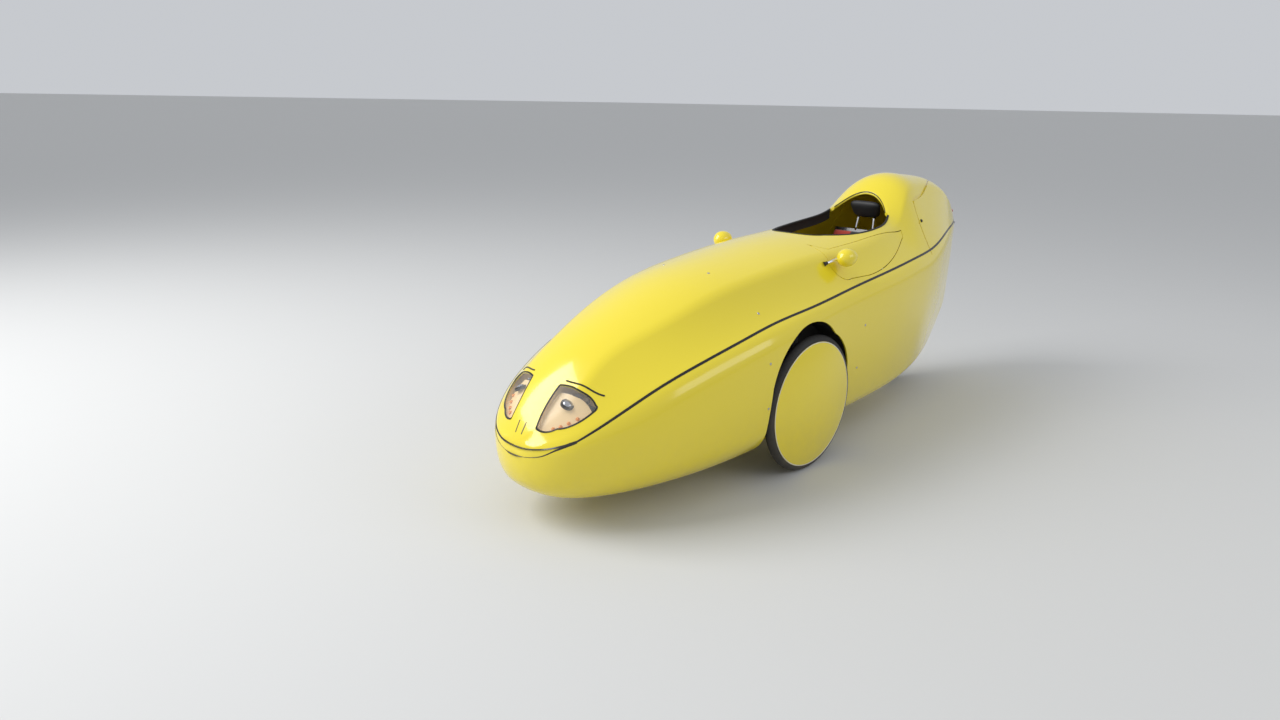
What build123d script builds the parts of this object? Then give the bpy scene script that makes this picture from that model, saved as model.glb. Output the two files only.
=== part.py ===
from build123d import *
import os
from math import atan2, cos, degrees, hypot, pi, radians, sin, sqrt

# Velomobile: a pedal three-wheeler in a closed shell, two steered wheels in front and one driven behind.
# Millimetres, X forward, Y to the left, Z up. Every shape is drawn with X = 0 on the front axle and
# Z = 0 on the ground; on export all of it moves forward by AXLE_AHEAD, to put the origin below the middle.

# Place of the whole
AXLE_AHEAD = 312.0
NOSE_TIP_X = 1042.0
NOSE_TIP_Z = 232.0

# Shell and panels
WALL = 6.0
SEAM_GAP = 2.0
JOIN_GAP = 0.6
HATCH_GAP = 5.0
TRIM_GAP = 1.5

# Wheels, the same size at all three corners
TYRE_R = 243.0
TYRE_W = 35.0
RIM_R = 203.0
RIM_W = 26.0
RIM_DEPTH = 16.0
COVER_R = 222.5
COVER_BULGE = 26.0
COVER_T = 2.5
COVER_GAP = 1.2
COVER_SKIRT_R = 202.5
COVER_SKIRT_T = 4.0
HUB_R = 30.0
HUB_LENGTH = 52.0
TRACK = 655.0
WHEELBASE = 1200.0
AXLE_R = 7.5
RUN_FIT = 0.05

# Steering
KINGPIN_Y = 245.0
KINGPIN_R = 10.0
KNUCKLE_R = 17.0
STEER_ARM = 62.0
TIE_ROD_R = 6.0

# Wheel wells
ARCH_FRONT_X = 258.0
ARCH_REAR_R = 262.0
ARCH_CREST = (60.0, 545.0)
ARCH_SHOULDER_Z = 360.0
WELL_MARGIN = 20.0
WELL_WALL = 3.0
WELL_INNER_Y = 222.0

# Cockpit opening, an egg in plan
OPENING_FRONT_X = -270.0
OPENING_HALF_W = 172.0
OPENING_WIDE_X = -640.0
OPENING_REAR_X = -868.0

SURROUND_FRONT_X = -165.0
SURROUND_HALF_W = 196.0
HATCH_FRONT_X = -950.0
HATCH_SEAL = 0.6
HATCH_HINGE = (-1660.0, 706.0)
HINGE_R = 6.0
HINGE_PIN_R = 3.0
HINGE_HALF_W = 18.0
HINGE_LUG_W = 6.0
HOOD_START_X = -790.0
HOOD_LIP_W = 20.0
HOOD_LIP_DEPTH = 15.0
EDGING_W = 5.0
EDGING_OVER = 2.5
EDGING_DEPTH = 42.0
SIDE_PANEL_FRONT_X = -210.0
SIDE_PANEL_REAR_X = -812.0
SIDE_PANEL_LOW_Z = 641.0

# Under the tail
SLOT_LENGTH = 500.0
SLOT_HALF_W = 33.0
REAR_BOX_HALF_W = 48.0
REAR_BOX_GAP = 22.0
REAR_BOX_FRONT = 305.0
REAR_HUB = 44.0
ARM_Y = 28.0
ARM_T = 7.0

# Front axle
BEAM_L = 44.0
BEAM_H = 26.0
BEAM_Y = 262.0
BEAM_Z = 165.0
KNUCKLE_LOW = 198.0
KNUCKLE_TOP = 330.0
STRUT_R = 18.0
STRUT_TOP = 560.0
HUB_INNER_Y = 270.0
DRUM_R = 45.0
DRUM_W = 26.0
BALL_PIN_R = 4.0
TIE_ROD_Z = 222.0
TIE_EYE_R = 7.5
TIE_ROD_HOLE_R = 18.0
TILLER_SLEEVE_LOW = 198.0
TILLER_SLEEVE_TOP = 250.0
TILLER_TOP = (-430.0, 0.0, 640.0)
TILLER_BAR = 20.0
GRIP_LENGTH = 95.0
GRIP_R = 16.0

# Seat
SEAT_T = 6.0
SEAT_W = 280.0
HEADREST = (-846.0, 0.0, 826.0)

# Lamps and mirrors
LAMP_BACK_X = 850.0
LAMP_FACE_X = 884.0
LAMP_Y = 108.0
LAMP_Z = 402.0
LAMP_R = 20.0
MIRROR = (-250.0, 285.0, 722.0)
MIRROR_R = 33.0
MIRROR_NOSE = 41.0
MIRROR_CUT = 26.0
MIRROR_GLASS_R = 25.0
MIRROR_GLASS_T = 3.0
MIRROR_FOOT = (-178.0, 237.6, 700.0)
MIRROR_FOOT_OUT = (0.050, 0.857, 0.513)
MIRROR_FOOT_R = 9.0
MIRROR_FOOT_H = 4.0
STEM_R = 4.5

# Pedals
CRANK_X = 600.0
CRANK_Z = 330.0
CRANK_LENGTH = 155.0
CRANK_Y = 68.0
CHAINRING_R = 82.0

# Body sections from nose to tail. All arcs are tangent: floor, corner and side below the widest point,
# belt, hollow, shoulder and crown above it.
SECTIONS = [
    # x, floor z, corner r, side r, floor r, half width, widest z,
    # belt r, hollow r, shoulder y, shoulder r, top z, crown r
    (1030, 160, 70, 150, 200, 80, 255, 30, 9000, 10, 30, 289, 120),
    (990, 118, 100, 300, 400, 156, 268, 50, 5000, 42, 70, 358, 220),
    (920, 95, 120, 500, 700, 218, 298, 75, 2000, 80, 80, 444, 300),
    (800, 82, 135, 800, 900, 280, 338, 95, 1200, 85, 85, 533, 400),
    (620, 78, 140, 1200, 1200, 330, 398, 100, 700, 118, 85, 618, 450),
    (400, 83, 135, 1600, 1600, 358, 456, 90, 450, 143, 80, 694, 500),
    (150, 90, 125, 1600, 1600, 364, 505, 75, 350, 160, 75, 738, 550),
    (-150, 88, 105, 1500, 1900, 347, 547, 70, 350, 168, 75, 771, 550),
    (-450, 90, 90, 1500, 1900, 336, 577, 70, 400, 166, 80, 796, 450),
    (-700, 98, 85, 1600, 1900, 318, 595, 75, 600, 130, 90, 838, 300),
    (-800, 105, 82, 1700, 1900, 305, 602, 80, 800, 110, 90, 865, 250),
    (-920, 118, 80, 1800, 1900, 285, 607, 85, 1500, 85, 70, 953, 200),
    (-1080, 138, 75, 2000, 1900, 245, 628, 95, 3000, 60, 60, 963, 160),
    (-1245, 180, 68, 2400, 1800, 190, 655, 100, 6000, 45, 50, 945, 120),
    (-1408, 238, 55, 3000, 1600, 128, 684, 85, 6000, 30, 40, 900, 90),
    (-1552, 305, 34, 5000, 1600, 68, 700, 55, 6000, 12, 30, 820, 60),
    (-1645, 370, 12, 9000, 1600, 20, 700, 20, 6000, 3, 14, 740, 30),
]


def meet(c0, r0, c1, r1, side):
    """Where two circles cross: the crossing on the given side of the line from c0 to c1."""
    dx, dy = c1[0] - c0[0], c1[1] - c0[1]
    span = hypot(dx, dy)
    along = (r0**2 - r1**2 + span**2) / (2 * span)
    across = sqrt(r0**2 - along**2)
    return (
        c0[0] + (along * dx - side * across * dy) / span,
        c0[1] + (along * dy + side * across * dx) / span,
    )


def heading(start, end):
    """Direction from one point to another, in radians."""
    return atan2(end[1] - start[1], end[0] - start[0])


def arc_points(centre, radius, start, end):
    """First, middle and last point of an arc that turns the short way from one direction to another."""
    turn = (end - start + pi) % (2 * pi) - pi
    angles = (start, start + turn / 2, start + turn)
    return [(centre[0] + radius * cos(a), centre[1] + radius * sin(a)) for a in angles]


def half_section(row, inset):
    """The seven tangent arcs of one side of a section, from floor to crown, moved inward by inset.

    The belt stops short of the hollow by a fine gap, the joint line between the lower and the upper shell.
    """
    (_, floor_z, corner_r, side_r, floor_r, half_w, wide_z,
     belt_r, hollow_r, shoulder_y, shoulder_r, top_z, crown_r) = row
    side = (half_w - side_r, wide_z)
    floor = (0, floor_z + floor_r)
    corner = meet(side, side_r - corner_r, floor, floor_r - corner_r, -1)
    belt = (half_w - belt_r, wide_z)
    crown = (0, top_z - crown_r)
    reach = crown_r - shoulder_r
    shoulder = (shoulder_y, crown[1] + sqrt(reach**2 - shoulder_y**2))
    hollow = meet(shoulder, shoulder_r + hollow_r, belt, belt_r + hollow_r, 1)
    return [
        arc_points(floor, floor_r - inset, -pi / 2, heading(floor, corner)),
        arc_points(corner, corner_r - inset, heading(floor, corner), heading(side, corner)),
        arc_points(side, side_r - inset, heading(side, corner), 0),
        arc_points(belt, belt_r - inset, 0, heading(belt, hollow) - JOIN_GAP / belt_r),
        arc_points(hollow, hollow_r + inset, heading(hollow, belt), heading(hollow, shoulder)),
        arc_points(shoulder, shoulder_r - inset, heading(hollow, shoulder) + pi, heading(crown, shoulder)),
        arc_points(crown, crown_r - inset, heading(crown, shoulder), pi / 2),
    ]


def mirror_points(arc):
    """The same arc on the right-hand side, run backwards."""
    return [(-y, z) for y, z in reversed(arc)]


def across(arcs, joined):
    """Arcs of both sides in one run, with the two arcs that meet on the centre line joined into one."""
    if joined == "first":
        centre = [mirror_points(arcs[0])[0], arcs[0][0], arcs[0][-1]]
        return [mirror_points(arc) for arc in reversed(arcs[1:])] + [centre] + arcs[1:]
    centre = [arcs[-1][0], arcs[-1][-1], mirror_points(arcs[-1])[-1]]
    return arcs[:-1] + [centre] + [mirror_points(arc) for arc in reversed(arcs[:-1])]


def band(row, part, out=0.0, depth=WALL):
    """The closed outline of a shell wall at one section, from out (outside) to depth (inside)."""
    cut, joined = {"lower": (slice(0, 4), "first"), "upper": (slice(4, 7), "last")}[part]
    x = row[0]
    outer = across(half_section(row, -out)[cut], joined)
    inner = [list(reversed(arc)) for arc in reversed(across(half_section(row, depth)[cut], joined))]
    edges = [Edge.make_three_point_arc(*[(x, y, z) for y, z in arc]) for arc in outer]
    edges.append(Edge.make_line((x, *outer[-1][-1]), (x, *inner[0][0])))
    edges += [Edge.make_three_point_arc(*[(x, y, z) for y, z in arc]) for arc in inner]
    edges.append(Edge.make_line((x, *inner[-1][-1]), (x, *outer[0][0])))
    return Wire(edges)


def filled(row, part, inset):
    """One half of a section as a closed outline, shut by a straight line at the join."""
    cut, joined = {"lower": (slice(0, 4), "first"), "upper": (slice(4, 7), "last")}[part]
    x = row[0]
    arcs = across(half_section(row, inset)[cut], joined)
    edges = [Edge.make_three_point_arc(*[(x, y, z) for y, z in arc]) for arc in arcs]
    edges.append(Edge.make_line((x, *arcs[-1][-1]), (x, *arcs[0][0])))
    return Wire(edges)


def outline(path, place):
    """A face from a closed path of lines (two points) and arcs (three points), set in space by place."""
    edges = []
    for piece in path:
        points = [place(a, b) for a, b in piece]
        if len(points) == 2:
            edges.append(Edge.make_line(*points))
        else:
            edges.append(Edge.make_three_point_arc(*points))
    return Face(Wire(edges))


def side_block(path, y0, y1):
    """A prism across the body from a path in side view (x, z)."""
    return Solid.extrude(outline(path, lambda a, b: (a, y0, b)), Vector(0, y1 - y0, 0))


def plan_block(path, z0, z1):
    """An upright prism from a path in plan (x, y)."""
    return Solid.extrude(outline(path, lambda a, b: (a, b, z0)), Vector(0, 0, z1 - z0))


def front_block(path, x0, x1):
    """A prism along the body from a path in front view (y, z)."""
    return Solid.extrude(outline(path, lambda a, b: (x0, a, b)), Vector(x1 - x0, 0, 0))


def box(x0, x1, y0, y1, z0, z1):
    """A box between two corners."""
    return Pos((x0 + x1) / 2, (y0 + y1) / 2, (z0 + z1) / 2) * Box(x1 - x0, y1 - y0, z1 - z0)


def rod(start, end, radius):
    """A round bar from one point to another."""
    start, end = Vector(start), Vector(end)
    return Solid.make_cylinder(radius, (end - start).length, Plane(origin=start, z_dir=end - start))


def turned(profile, centre):
    """A solid turned about the Y line through centre, from a path of (radius, y) points."""
    face = outline(profile, lambda r, y: (centre[0] + r, y, centre[1]))
    return Solid.revolve(face, 360, Axis((centre[0], 0, centre[1]), (0, 1, 0)))


def polygon(points):
    """A path of straight lines through points, closed."""
    return [(points[i - 1], points[i]) for i in range(1, len(points))] + [(points[-1], points[0])]


def mirrored(shape):
    """The same shape on the right-hand side."""
    return shape.mirror(Plane.XZ)


# Wheel arch and well
def arch_path(margin):
    """The arch in side view: round the tyre behind, higher and straighter in front."""
    reach = ARCH_REAR_R + margin
    turn = radians(115)
    low = -60.0
    rear = (-reach, TYRE_R)
    bend = (reach * cos(turn), TYRE_R + reach * sin(turn))
    crest = (ARCH_CREST[0], ARCH_CREST[1] + margin)
    front = (ARCH_FRONT_X + margin, ARCH_SHOULDER_Z)
    middle = radians(147.5)
    return [
        ((-reach, low), rear),
        (rear, (reach * cos(middle), TYRE_R + reach * sin(middle)), bend),
        (bend, crest, front),
        (front, (ARCH_FRONT_X + margin, low)),
        ((ARCH_FRONT_X + margin, low), (-reach, low)),
    ]


def opening_path(margin):
    """The cockpit opening in plan: a pointed front, widest by the shoulders, round under the hood."""
    front = OPENING_FRONT_X + margin
    rear = OPENING_REAR_X - margin
    half = OPENING_HALF_W + margin
    fore_x = OPENING_FRONT_X - 90
    aft_x = OPENING_REAR_X + 75
    fore_y = OPENING_HALF_W * 0.66 + margin * 0.9
    aft_y = OPENING_HALF_W * 0.79 + margin * 0.8
    bend_x = (OPENING_WIDE_X + aft_x) / 2
    bend_y = half - (half - aft_y) / 4
    return [
        ((fore_x, -fore_y), (front, 0), (fore_x, fore_y)),
        ((fore_x, fore_y), (OPENING_FRONT_X - 240, half * 0.955), (OPENING_WIDE_X, half)),
        ((OPENING_WIDE_X, half), (bend_x, bend_y), (aft_x, aft_y)),
        ((aft_x, aft_y), (rear, 0), (aft_x, -aft_y)),
        ((aft_x, -aft_y), (bend_x, -bend_y), (OPENING_WIDE_X, -half)),
        ((OPENING_WIDE_X, -half), (OPENING_FRONT_X - 240, -half * 0.955), (fore_x, -fore_y)),
    ]


def surround_path(margin):
    """The panel round the cockpit in plan: rounded in front, straight sides, a tongue into the hatch."""
    front, half = SURROUND_FRONT_X + margin, SURROUND_HALF_W + margin
    corner, tongue, tip = -955 - margin, 148 + margin, -1360 - 2 * margin
    bend = (-1120 - margin, 110 + margin)
    return [
        ((-260, -half), (front, 0), (-260, half)),
        ((-260, half), (HATCH_FRONT_X, half)),
        ((HATCH_FRONT_X, half), (corner, tongue)),
        ((corner, tongue), bend, (tip, 0)),
        ((tip, 0), (bend[0], -bend[1]), (corner, -tongue)),
        ((corner, -tongue), (HATCH_FRONT_X, -half)),
        ((HATCH_FRONT_X, -half), (-260, -half)),
    ]


def side_panel_path(margin):
    """The side panel in side view: a shallow U below the cockpit panel."""
    top = 800
    front, aft, low = SIDE_PANEL_FRONT_X + margin, SIDE_PANEL_REAR_X - margin, SIDE_PANEL_LOW_Z - margin
    return [
        ((front, top), (front, 700)),
        ((front, 700), (front - 20, 655 - margin * 0.7), (front - 75, low)),
        ((front - 75, low), (-400, low)),
        ((-400, low), (-600, low + 30), (aft + 25, 738 - margin)),
        ((aft + 25, 738 - margin), (aft, top)),
        ((aft, top), (front, top)),
    ]


def hatch_path(margin):
    """The tail hatch in plan: everything behind its front edge."""
    front = HATCH_FRONT_X - margin
    return polygon([(front, -500), (front, 500), (-1800, 500), (-1800, -500)])


def window_path(margin):
    """A lamp window in front view (y, z): a leaning almond, its low corner towards the nose."""
    m = margin
    return [
        ((62 - m, 446 + m), (56 - m, 385), (58 - m, 332 - m)),
        ((58 - m, 332 - m), (80, 327 - m), (120, 340 - m)),
        ((120, 340 - m), (160 + m, 356 - m), (186 + m, 389 - m)),
        ((186 + m, 389 - m), (188 + m, 396), (182 + m, 404 + m)),
        ((182 + m, 404 + m), (125, 441 + m), (62 - m, 446 + m)),
    ]


# Shell panels
def half_shell(part):
    """The lower or upper half of the shell, closed at the nose and at the tail."""
    wall = Solid.make_loft([band(row, part) for row in SECTIONS])
    nose = Solid.make_loft([filled(SECTIONS[0], part, 0), Vertex(NOSE_TIP_X, 0, NOSE_TIP_Z)])
    tail = Solid.extrude(Face(filled(SECTIONS[-1], part, 0)), Vector(-WALL, 0, 0))
    return wall + nose + tail


def inner_space(part, first, last):
    """The room inside a stretch of the shell, for cutting what fits against its inner face."""
    return Solid.make_loft([filled(row, part, WALL + TRIM_GAP) for row in SECTIONS[first:last]])


def both_sides(shape):
    """The shape together with its mirror image."""
    return [shape, mirrored(shape)]


def hatch_hinge():
    """The hatch's hinge behind the tail: lugs with their pin, and the knuckle that turns on it."""
    x, z = HATCH_HINGE
    end = SECTIONS[-1][0] - WALL + 2
    pin = rod((x, -HINGE_HALF_W, z), (x, HINGE_HALF_W, z), HINGE_PIN_R)
    lugs = pin
    for y in (-HINGE_HALF_W, HINGE_HALF_W - HINGE_LUG_W):
        lugs += rod((x, y, z), (x, y + HINGE_LUG_W, z), HINGE_R)
        lugs += box(x, end, y, y + HINGE_LUG_W, z - 20, z - 4)
    half = HINGE_HALF_W - HINGE_LUG_W - 1
    leaf = rod((x, -half, z), (x, half, z), HINGE_R) + box(x, end, -half, half, z + 2, z + 16)
    leaf -= rod((x, -HINGE_HALF_W, z), (x, HINGE_HALF_W, z), HINGE_PIN_R + RUN_FIT)
    return lugs, leaf


def build_shells():
    """The panels of the shell, with everything that is cut through them."""
    lower = half_shell("lower")
    for arch in both_sides(side_block(arch_path(0), WELL_INNER_Y, 500)):
        lower -= arch
    rear, front = -WHEELBASE - SLOT_LENGTH / 2, -WHEELBASE + SLOT_LENGTH / 2
    lower -= box(rear, front, -SLOT_HALF_W, SLOT_HALF_W, 50, 400)

    upper = half_shell("upper")
    opening = plan_block(opening_path(0), 600, 1100)
    panel = plan_block(surround_path(0), 600, 1100)
    windows = both_sides(front_block(window_path(0), 700, 1100))
    side = side_block(side_panel_path(0), 100, 500)

    surround = (upper & panel) - opening
    hood = plan_block(opening_path(0), 600, 1100) - plan_block(opening_path(-HOOD_LIP_W), 600, 1100)
    thick = Solid.make_loft([band(row, "upper", 0, HOOD_LIP_DEPTH) for row in SECTIONS[8:13]])
    surround += (thick & hood) & box(-1000, HOOD_START_X, -200, 200, 600, 1100)

    side_panel = upper & side_block(side_panel_path(-SEAM_GAP), 100, 500)
    side_panel -= plan_block(surround_path(SEAM_GAP), 600, 1100)
    tail_hatch = upper & plan_block(hatch_path(HATCH_GAP), 500, 1100)
    tail_hatch -= plan_block(surround_path(HATCH_GAP), 600, 1100)
    deck = upper - panel - side - plan_block(hatch_path(0), 500, 1100)
    panes = [upper & window for window in windows]
    for window in windows:
        deck -= window
    lugs, leaf = hatch_hinge()
    node("lower_shell", lower + lugs)
    node("upper_shell", deck)
    node("cockpit_panel", surround)
    node("side_panel", side_panel)
    tail_hatch = Pos(0, 0, HATCH_SEAL) * tail_hatch + leaf
    node("tail_hatch", tail_hatch)
    node("lamp_window_left", panes[0])
    node("lamp_window_right", panes[1])
    return tail_hatch


def build_edging():
    """Rubber edging on the rim of the cockpit opening, up to where the hood begins."""
    ring = plan_block(opening_path(0), 600, 1100) - plan_block(opening_path(-EDGING_W), 600, 1100)
    thick = Solid.make_loft([band(row, "upper", EDGING_OVER, EDGING_DEPTH) for row in SECTIONS[6:12]])
    node("cockpit_edging", (thick & ring) & box(HOOD_START_X + 0.5, 0, -250, 250, 600, 1100))


def build_wells():
    """A wheel well each side, open outward and below, with the holes for beam and tie rod."""
    room = inner_space("lower", 4, 10)
    roof = WELL_MARGIN + WELL_WALL
    well = side_block(arch_path(roof), WELL_INNER_Y - WELL_WALL, 420)
    well -= side_block(arch_path(WELL_MARGIN), WELL_INNER_Y, 500)
    well = well & room
    well -= box(-BEAM_L / 2, BEAM_L / 2, 150, 300, BEAM_Z - BEAM_H / 2, BEAM_Z + BEAM_H / 2)
    for z in (TIE_ROD_Z, KNUCKLE_LOW + 12):
        well -= rod((-STEER_ARM, 150, z), (-STEER_ARM, 300, z), TIE_ROD_HOLE_R)
    node("wheel_well_left", well)
    node("wheel_well_right", mirrored(well))

    back = inner_space("lower", 9, 16)
    rear = side_block(rear_box_path(WELL_WALL), -REAR_BOX_HALF_W, REAR_BOX_HALF_W)
    inside = REAR_BOX_HALF_W - WELL_WALL
    rear -= side_block(rear_box_path(0), -inside, inside)
    node("rear_wheel_box", rear & back)


def rear_box_path(margin):
    """The rear wheel's box in side view: round over the tyre, longer in front for the swing arm's pivot."""
    reach = TYRE_R + REAR_BOX_GAP + margin
    front = -WHEELBASE + REAR_BOX_FRONT + margin
    top = TYRE_R + reach
    lean = reach * sin(pi / 4)
    return [
        ((-WHEELBASE - reach, 50), (-WHEELBASE - reach, TYRE_R)),
        ((-WHEELBASE - reach, TYRE_R), (-WHEELBASE - lean, TYRE_R + lean), (-WHEELBASE, top)),
        ((-WHEELBASE, top), (front, top - 120)),
        ((front, top - 120), (front, 50)),
        ((front, 50), (-WHEELBASE - reach, 50)),
    ]


# Wheels
def tyre_profile():
    """Tyre section as (radius, y) about the wheel's middle plane."""
    half, bead = TYRE_W / 2, RIM_W / 2
    wide = TYRE_R - 20
    flank = (RIM_R + 9, half - 0.3)
    tread = (TYRE_R - 5, half * 0.66)
    return [
        ((RIM_R, -bead), (flank[0], -flank[1]), (wide, -half)),
        ((wide, -half), (tread[0], -tread[1]), (TYRE_R, 0)),
        ((TYRE_R, 0), tread, (wide, half)),
        ((wide, half), flank, (RIM_R, bead)),
        ((RIM_R, bead), (RIM_R, -bead)),
    ]


def shifted(path, dy):
    """A wheel profile moved along the axle."""
    return [tuple((r, y + dy) for r, y in piece) for piece in path]


def build_front_wheel():
    """Tyre, wheel with drum hub, and domed cover of the left front wheel."""
    centre = (0, TYRE_R)
    middle = TRACK / 2
    half = RIM_W / 2
    inner_r = RIM_R - RIM_DEPTH
    hub_in, hub_out = HUB_INNER_Y - middle, HUB_INNER_Y + HUB_LENGTH - middle
    bore = AXLE_R + RUN_FIT
    wheel = polygon([
        (RIM_R, -half), (RIM_R, half), (inner_r, half * 0.6),
        (HUB_R, hub_out), (bore, hub_out), (bore, hub_in),
        (DRUM_R, hub_in), (DRUM_R, hub_in + DRUM_W), (DRUM_R + 3, hub_in + DRUM_W), (inner_r, -half * 0.9),
    ])
    edge = middle + TYRE_W / 2 + COVER_GAP
    curve = (COVER_R**2 + COVER_BULGE**2) / (2 * COVER_BULGE)
    hub_line = Pos(0, edge + COVER_BULGE - curve, TYRE_R)
    cover = (hub_line * Sphere(curve)) - (hub_line * Sphere(curve - COVER_T))
    cover &= rod((0, edge, TYRE_R), (0, edge + 2 * COVER_BULGE, TYRE_R), COVER_R)
    seat, back = (0, middle + half + 0.2, TYRE_R), (0, edge + 2, TYRE_R)
    cover += rod(seat, back, COVER_SKIRT_R) - rod(seat, back, COVER_SKIRT_R - COVER_SKIRT_T)
    pieces = {
        "front_tyre": turned(shifted(tyre_profile(), middle), centre),
        "front_rim": turned(shifted(wheel, middle), centre),
        "wheel_cover": cover,
    }
    for name, piece in pieces.items():
        node(name + "_left", piece)
        node(name + "_right", mirrored(piece))


def build_rear_wheel():
    """Tyre and wheel behind, with the sprocket on the right."""
    centre = (-WHEELBASE, TYRE_R)
    half = RIM_W / 2
    inner_r = RIM_R - RIM_DEPTH
    hub = REAR_HUB / 2
    bore = AXLE_R + RUN_FIT
    wheel = polygon([
        (RIM_R, -half), (RIM_R, half), (inner_r, half * 0.8), (HUB_R, hub), (bore, hub), (bore, -hub),
        (HUB_R, -hub), (inner_r, -half * 0.8),
    ])
    node("rear_tyre", turned(tyre_profile(), centre))
    node("rear_rim", turned(wheel, centre))


def build_swing_arm():
    """Rear arm: two plates on a pivot tube, with the axle across their ends."""
    pivot = (-WHEELBASE + REAR_BOX_FRONT - 25, TYRE_R + 12)
    half = REAR_BOX_HALF_W - WELL_WALL
    arm = rod((pivot[0], -half, pivot[1]), (pivot[0], half, pivot[1]), 11)
    slope = heading((-WHEELBASE, TYRE_R), pivot)
    reach = hypot(pivot[0] + WHEELBASE, pivot[1] - TYRE_R)
    for y in (ARM_Y, -ARM_Y - ARM_T):
        plate = box(0, reach, y, y + ARM_T, -13, 13)
        plate = Rot(0, -slope * 180 / pi, 0) * plate
        arm += Pos(-WHEELBASE, 0, TYRE_R) * plate
        arm += rod((-WHEELBASE, y, TYRE_R), (-WHEELBASE, y + ARM_T, TYRE_R), 18)
    arm += rod((-WHEELBASE, -ARM_Y, TYRE_R), (-WHEELBASE, ARM_Y, TYRE_R), AXLE_R)
    node("swing_arm", arm)


# Steering
def build_steering():
    """Beam, kingpins, knuckles, tie rod and tiller."""
    beam = box(-BEAM_L / 2, BEAM_L / 2, -BEAM_Y, BEAM_Y, BEAM_Z - BEAM_H / 2, BEAM_Z + BEAM_H / 2)
    top = BEAM_Z + BEAM_H / 2
    for y in (-KINGPIN_Y, KINGPIN_Y):
        beam -= rod((0, y, 0), (0, y, 400), KINGPIN_R)
    beam += rod((0, 0, top), (0, 0, TILLER_SLEEVE_TOP + 10), KINGPIN_R)
    beam += rod((0, 0, top), (0, 0, TILLER_SLEEVE_LOW - 0.5), KNUCKLE_R)
    node("axle_beam", beam)

    strut = rod((0, KINGPIN_Y, top - BEAM_H), (0, KINGPIN_Y, KNUCKLE_TOP + 8), KINGPIN_R)
    strut += rod((0, KINGPIN_Y, top), (0, KINGPIN_Y, KNUCKLE_LOW - 0.5), KINGPIN_R + 4)
    strut += rod((0, KINGPIN_Y, KNUCKLE_TOP + 6), (0, KINGPIN_Y, STRUT_TOP), STRUT_R)
    strut += rod((0, KINGPIN_Y, STRUT_TOP - 6), (0, KINGPIN_Y, STRUT_TOP), STRUT_R + 4)
    strut &= side_block(arch_path(WELL_MARGIN - TRIM_GAP), 0, 500)
    node("strut_left", strut)
    node("strut_right", mirrored(strut))

    for side, name in ((1, "left"), (-1, "right")):
        y = side * KINGPIN_Y
        hub_y = side * HUB_INNER_Y
        knuckle = rod((0, y, KNUCKLE_LOW), (0, y, KNUCKLE_TOP), KNUCKLE_R)
        knuckle += rod((0, y, TYRE_R), (0, hub_y - side * 4, TYRE_R), KNUCKLE_R - 3)
        knuckle += rod((0, y, TYRE_R), (0, hub_y + side * (HUB_LENGTH - 3), TYRE_R), AXLE_R)
        knuckle += box(-STEER_ARM, 0, y - 8, y + 8, KNUCKLE_LOW, KNUCKLE_LOW + 10)
        knuckle += rod((-STEER_ARM, y, KNUCKLE_LOW), (-STEER_ARM, y, KNUCKLE_LOW + 10), 10)
        knuckle += rod((-STEER_ARM, y, KNUCKLE_LOW), (-STEER_ARM, y, TIE_ROD_Z + 9), BALL_PIN_R)
        knuckle -= rod((0, y, 0), (0, y, 500), KINGPIN_R + RUN_FIT)
        node("knuckle_" + name, knuckle)

    tie = rod((-STEER_ARM, -KINGPIN_Y, TIE_ROD_Z), (-STEER_ARM, KINGPIN_Y, TIE_ROD_Z), TIE_ROD_R)
    for y in (-KINGPIN_Y, 0, KINGPIN_Y):
        tie += rod((-STEER_ARM, y, TIE_ROD_Z - 7), (-STEER_ARM, y, TIE_ROD_Z + 7), TIE_EYE_R + 4)
    for y in (-KINGPIN_Y, 0, KINGPIN_Y):
        tie -= rod((-STEER_ARM, y, TIE_ROD_Z - 20), (-STEER_ARM, y, TIE_ROD_Z + 20), TIE_EYE_R)
    node("tie_rod", tie)

    tiller = rod((0, 0, TILLER_SLEEVE_LOW), (0, 0, TILLER_SLEEVE_TOP), KNUCKLE_R)
    tiller += box(-STEER_ARM, 0, -8, 8, TILLER_SLEEVE_LOW, TILLER_SLEEVE_LOW + 10)
    tiller += rod((-STEER_ARM, 0, TILLER_SLEEVE_LOW), (-STEER_ARM, 0, TIE_ROD_Z + 9), BALL_PIN_R)
    elbow = (-60, 0, TILLER_SLEEVE_TOP + 30)
    tiller += rod((-8, 0, TILLER_SLEEVE_TOP - 12), elbow, 11)
    tiller += Pos(*elbow) * Sphere(11)
    tiller += rod(elbow, TILLER_TOP, 11)
    tiller -= rod((0, 0, 0), (0, 0, 500), KINGPIN_R + RUN_FIT)
    bar = rod((TILLER_TOP[0], -TILLER_BAR, TILLER_TOP[2]), (TILLER_TOP[0], TILLER_BAR, TILLER_TOP[2]), 11)
    node("tiller", tiller + bar)
    for side, name in ((1, "left"), (-1, "right")):
        inner = (TILLER_TOP[0], side * TILLER_BAR, TILLER_TOP[2])
        outer = (TILLER_TOP[0], side * (TILLER_BAR + GRIP_LENGTH), TILLER_TOP[2])
        grip = rod(inner, outer, GRIP_R)
        node("grip_" + name, grip)


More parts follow.
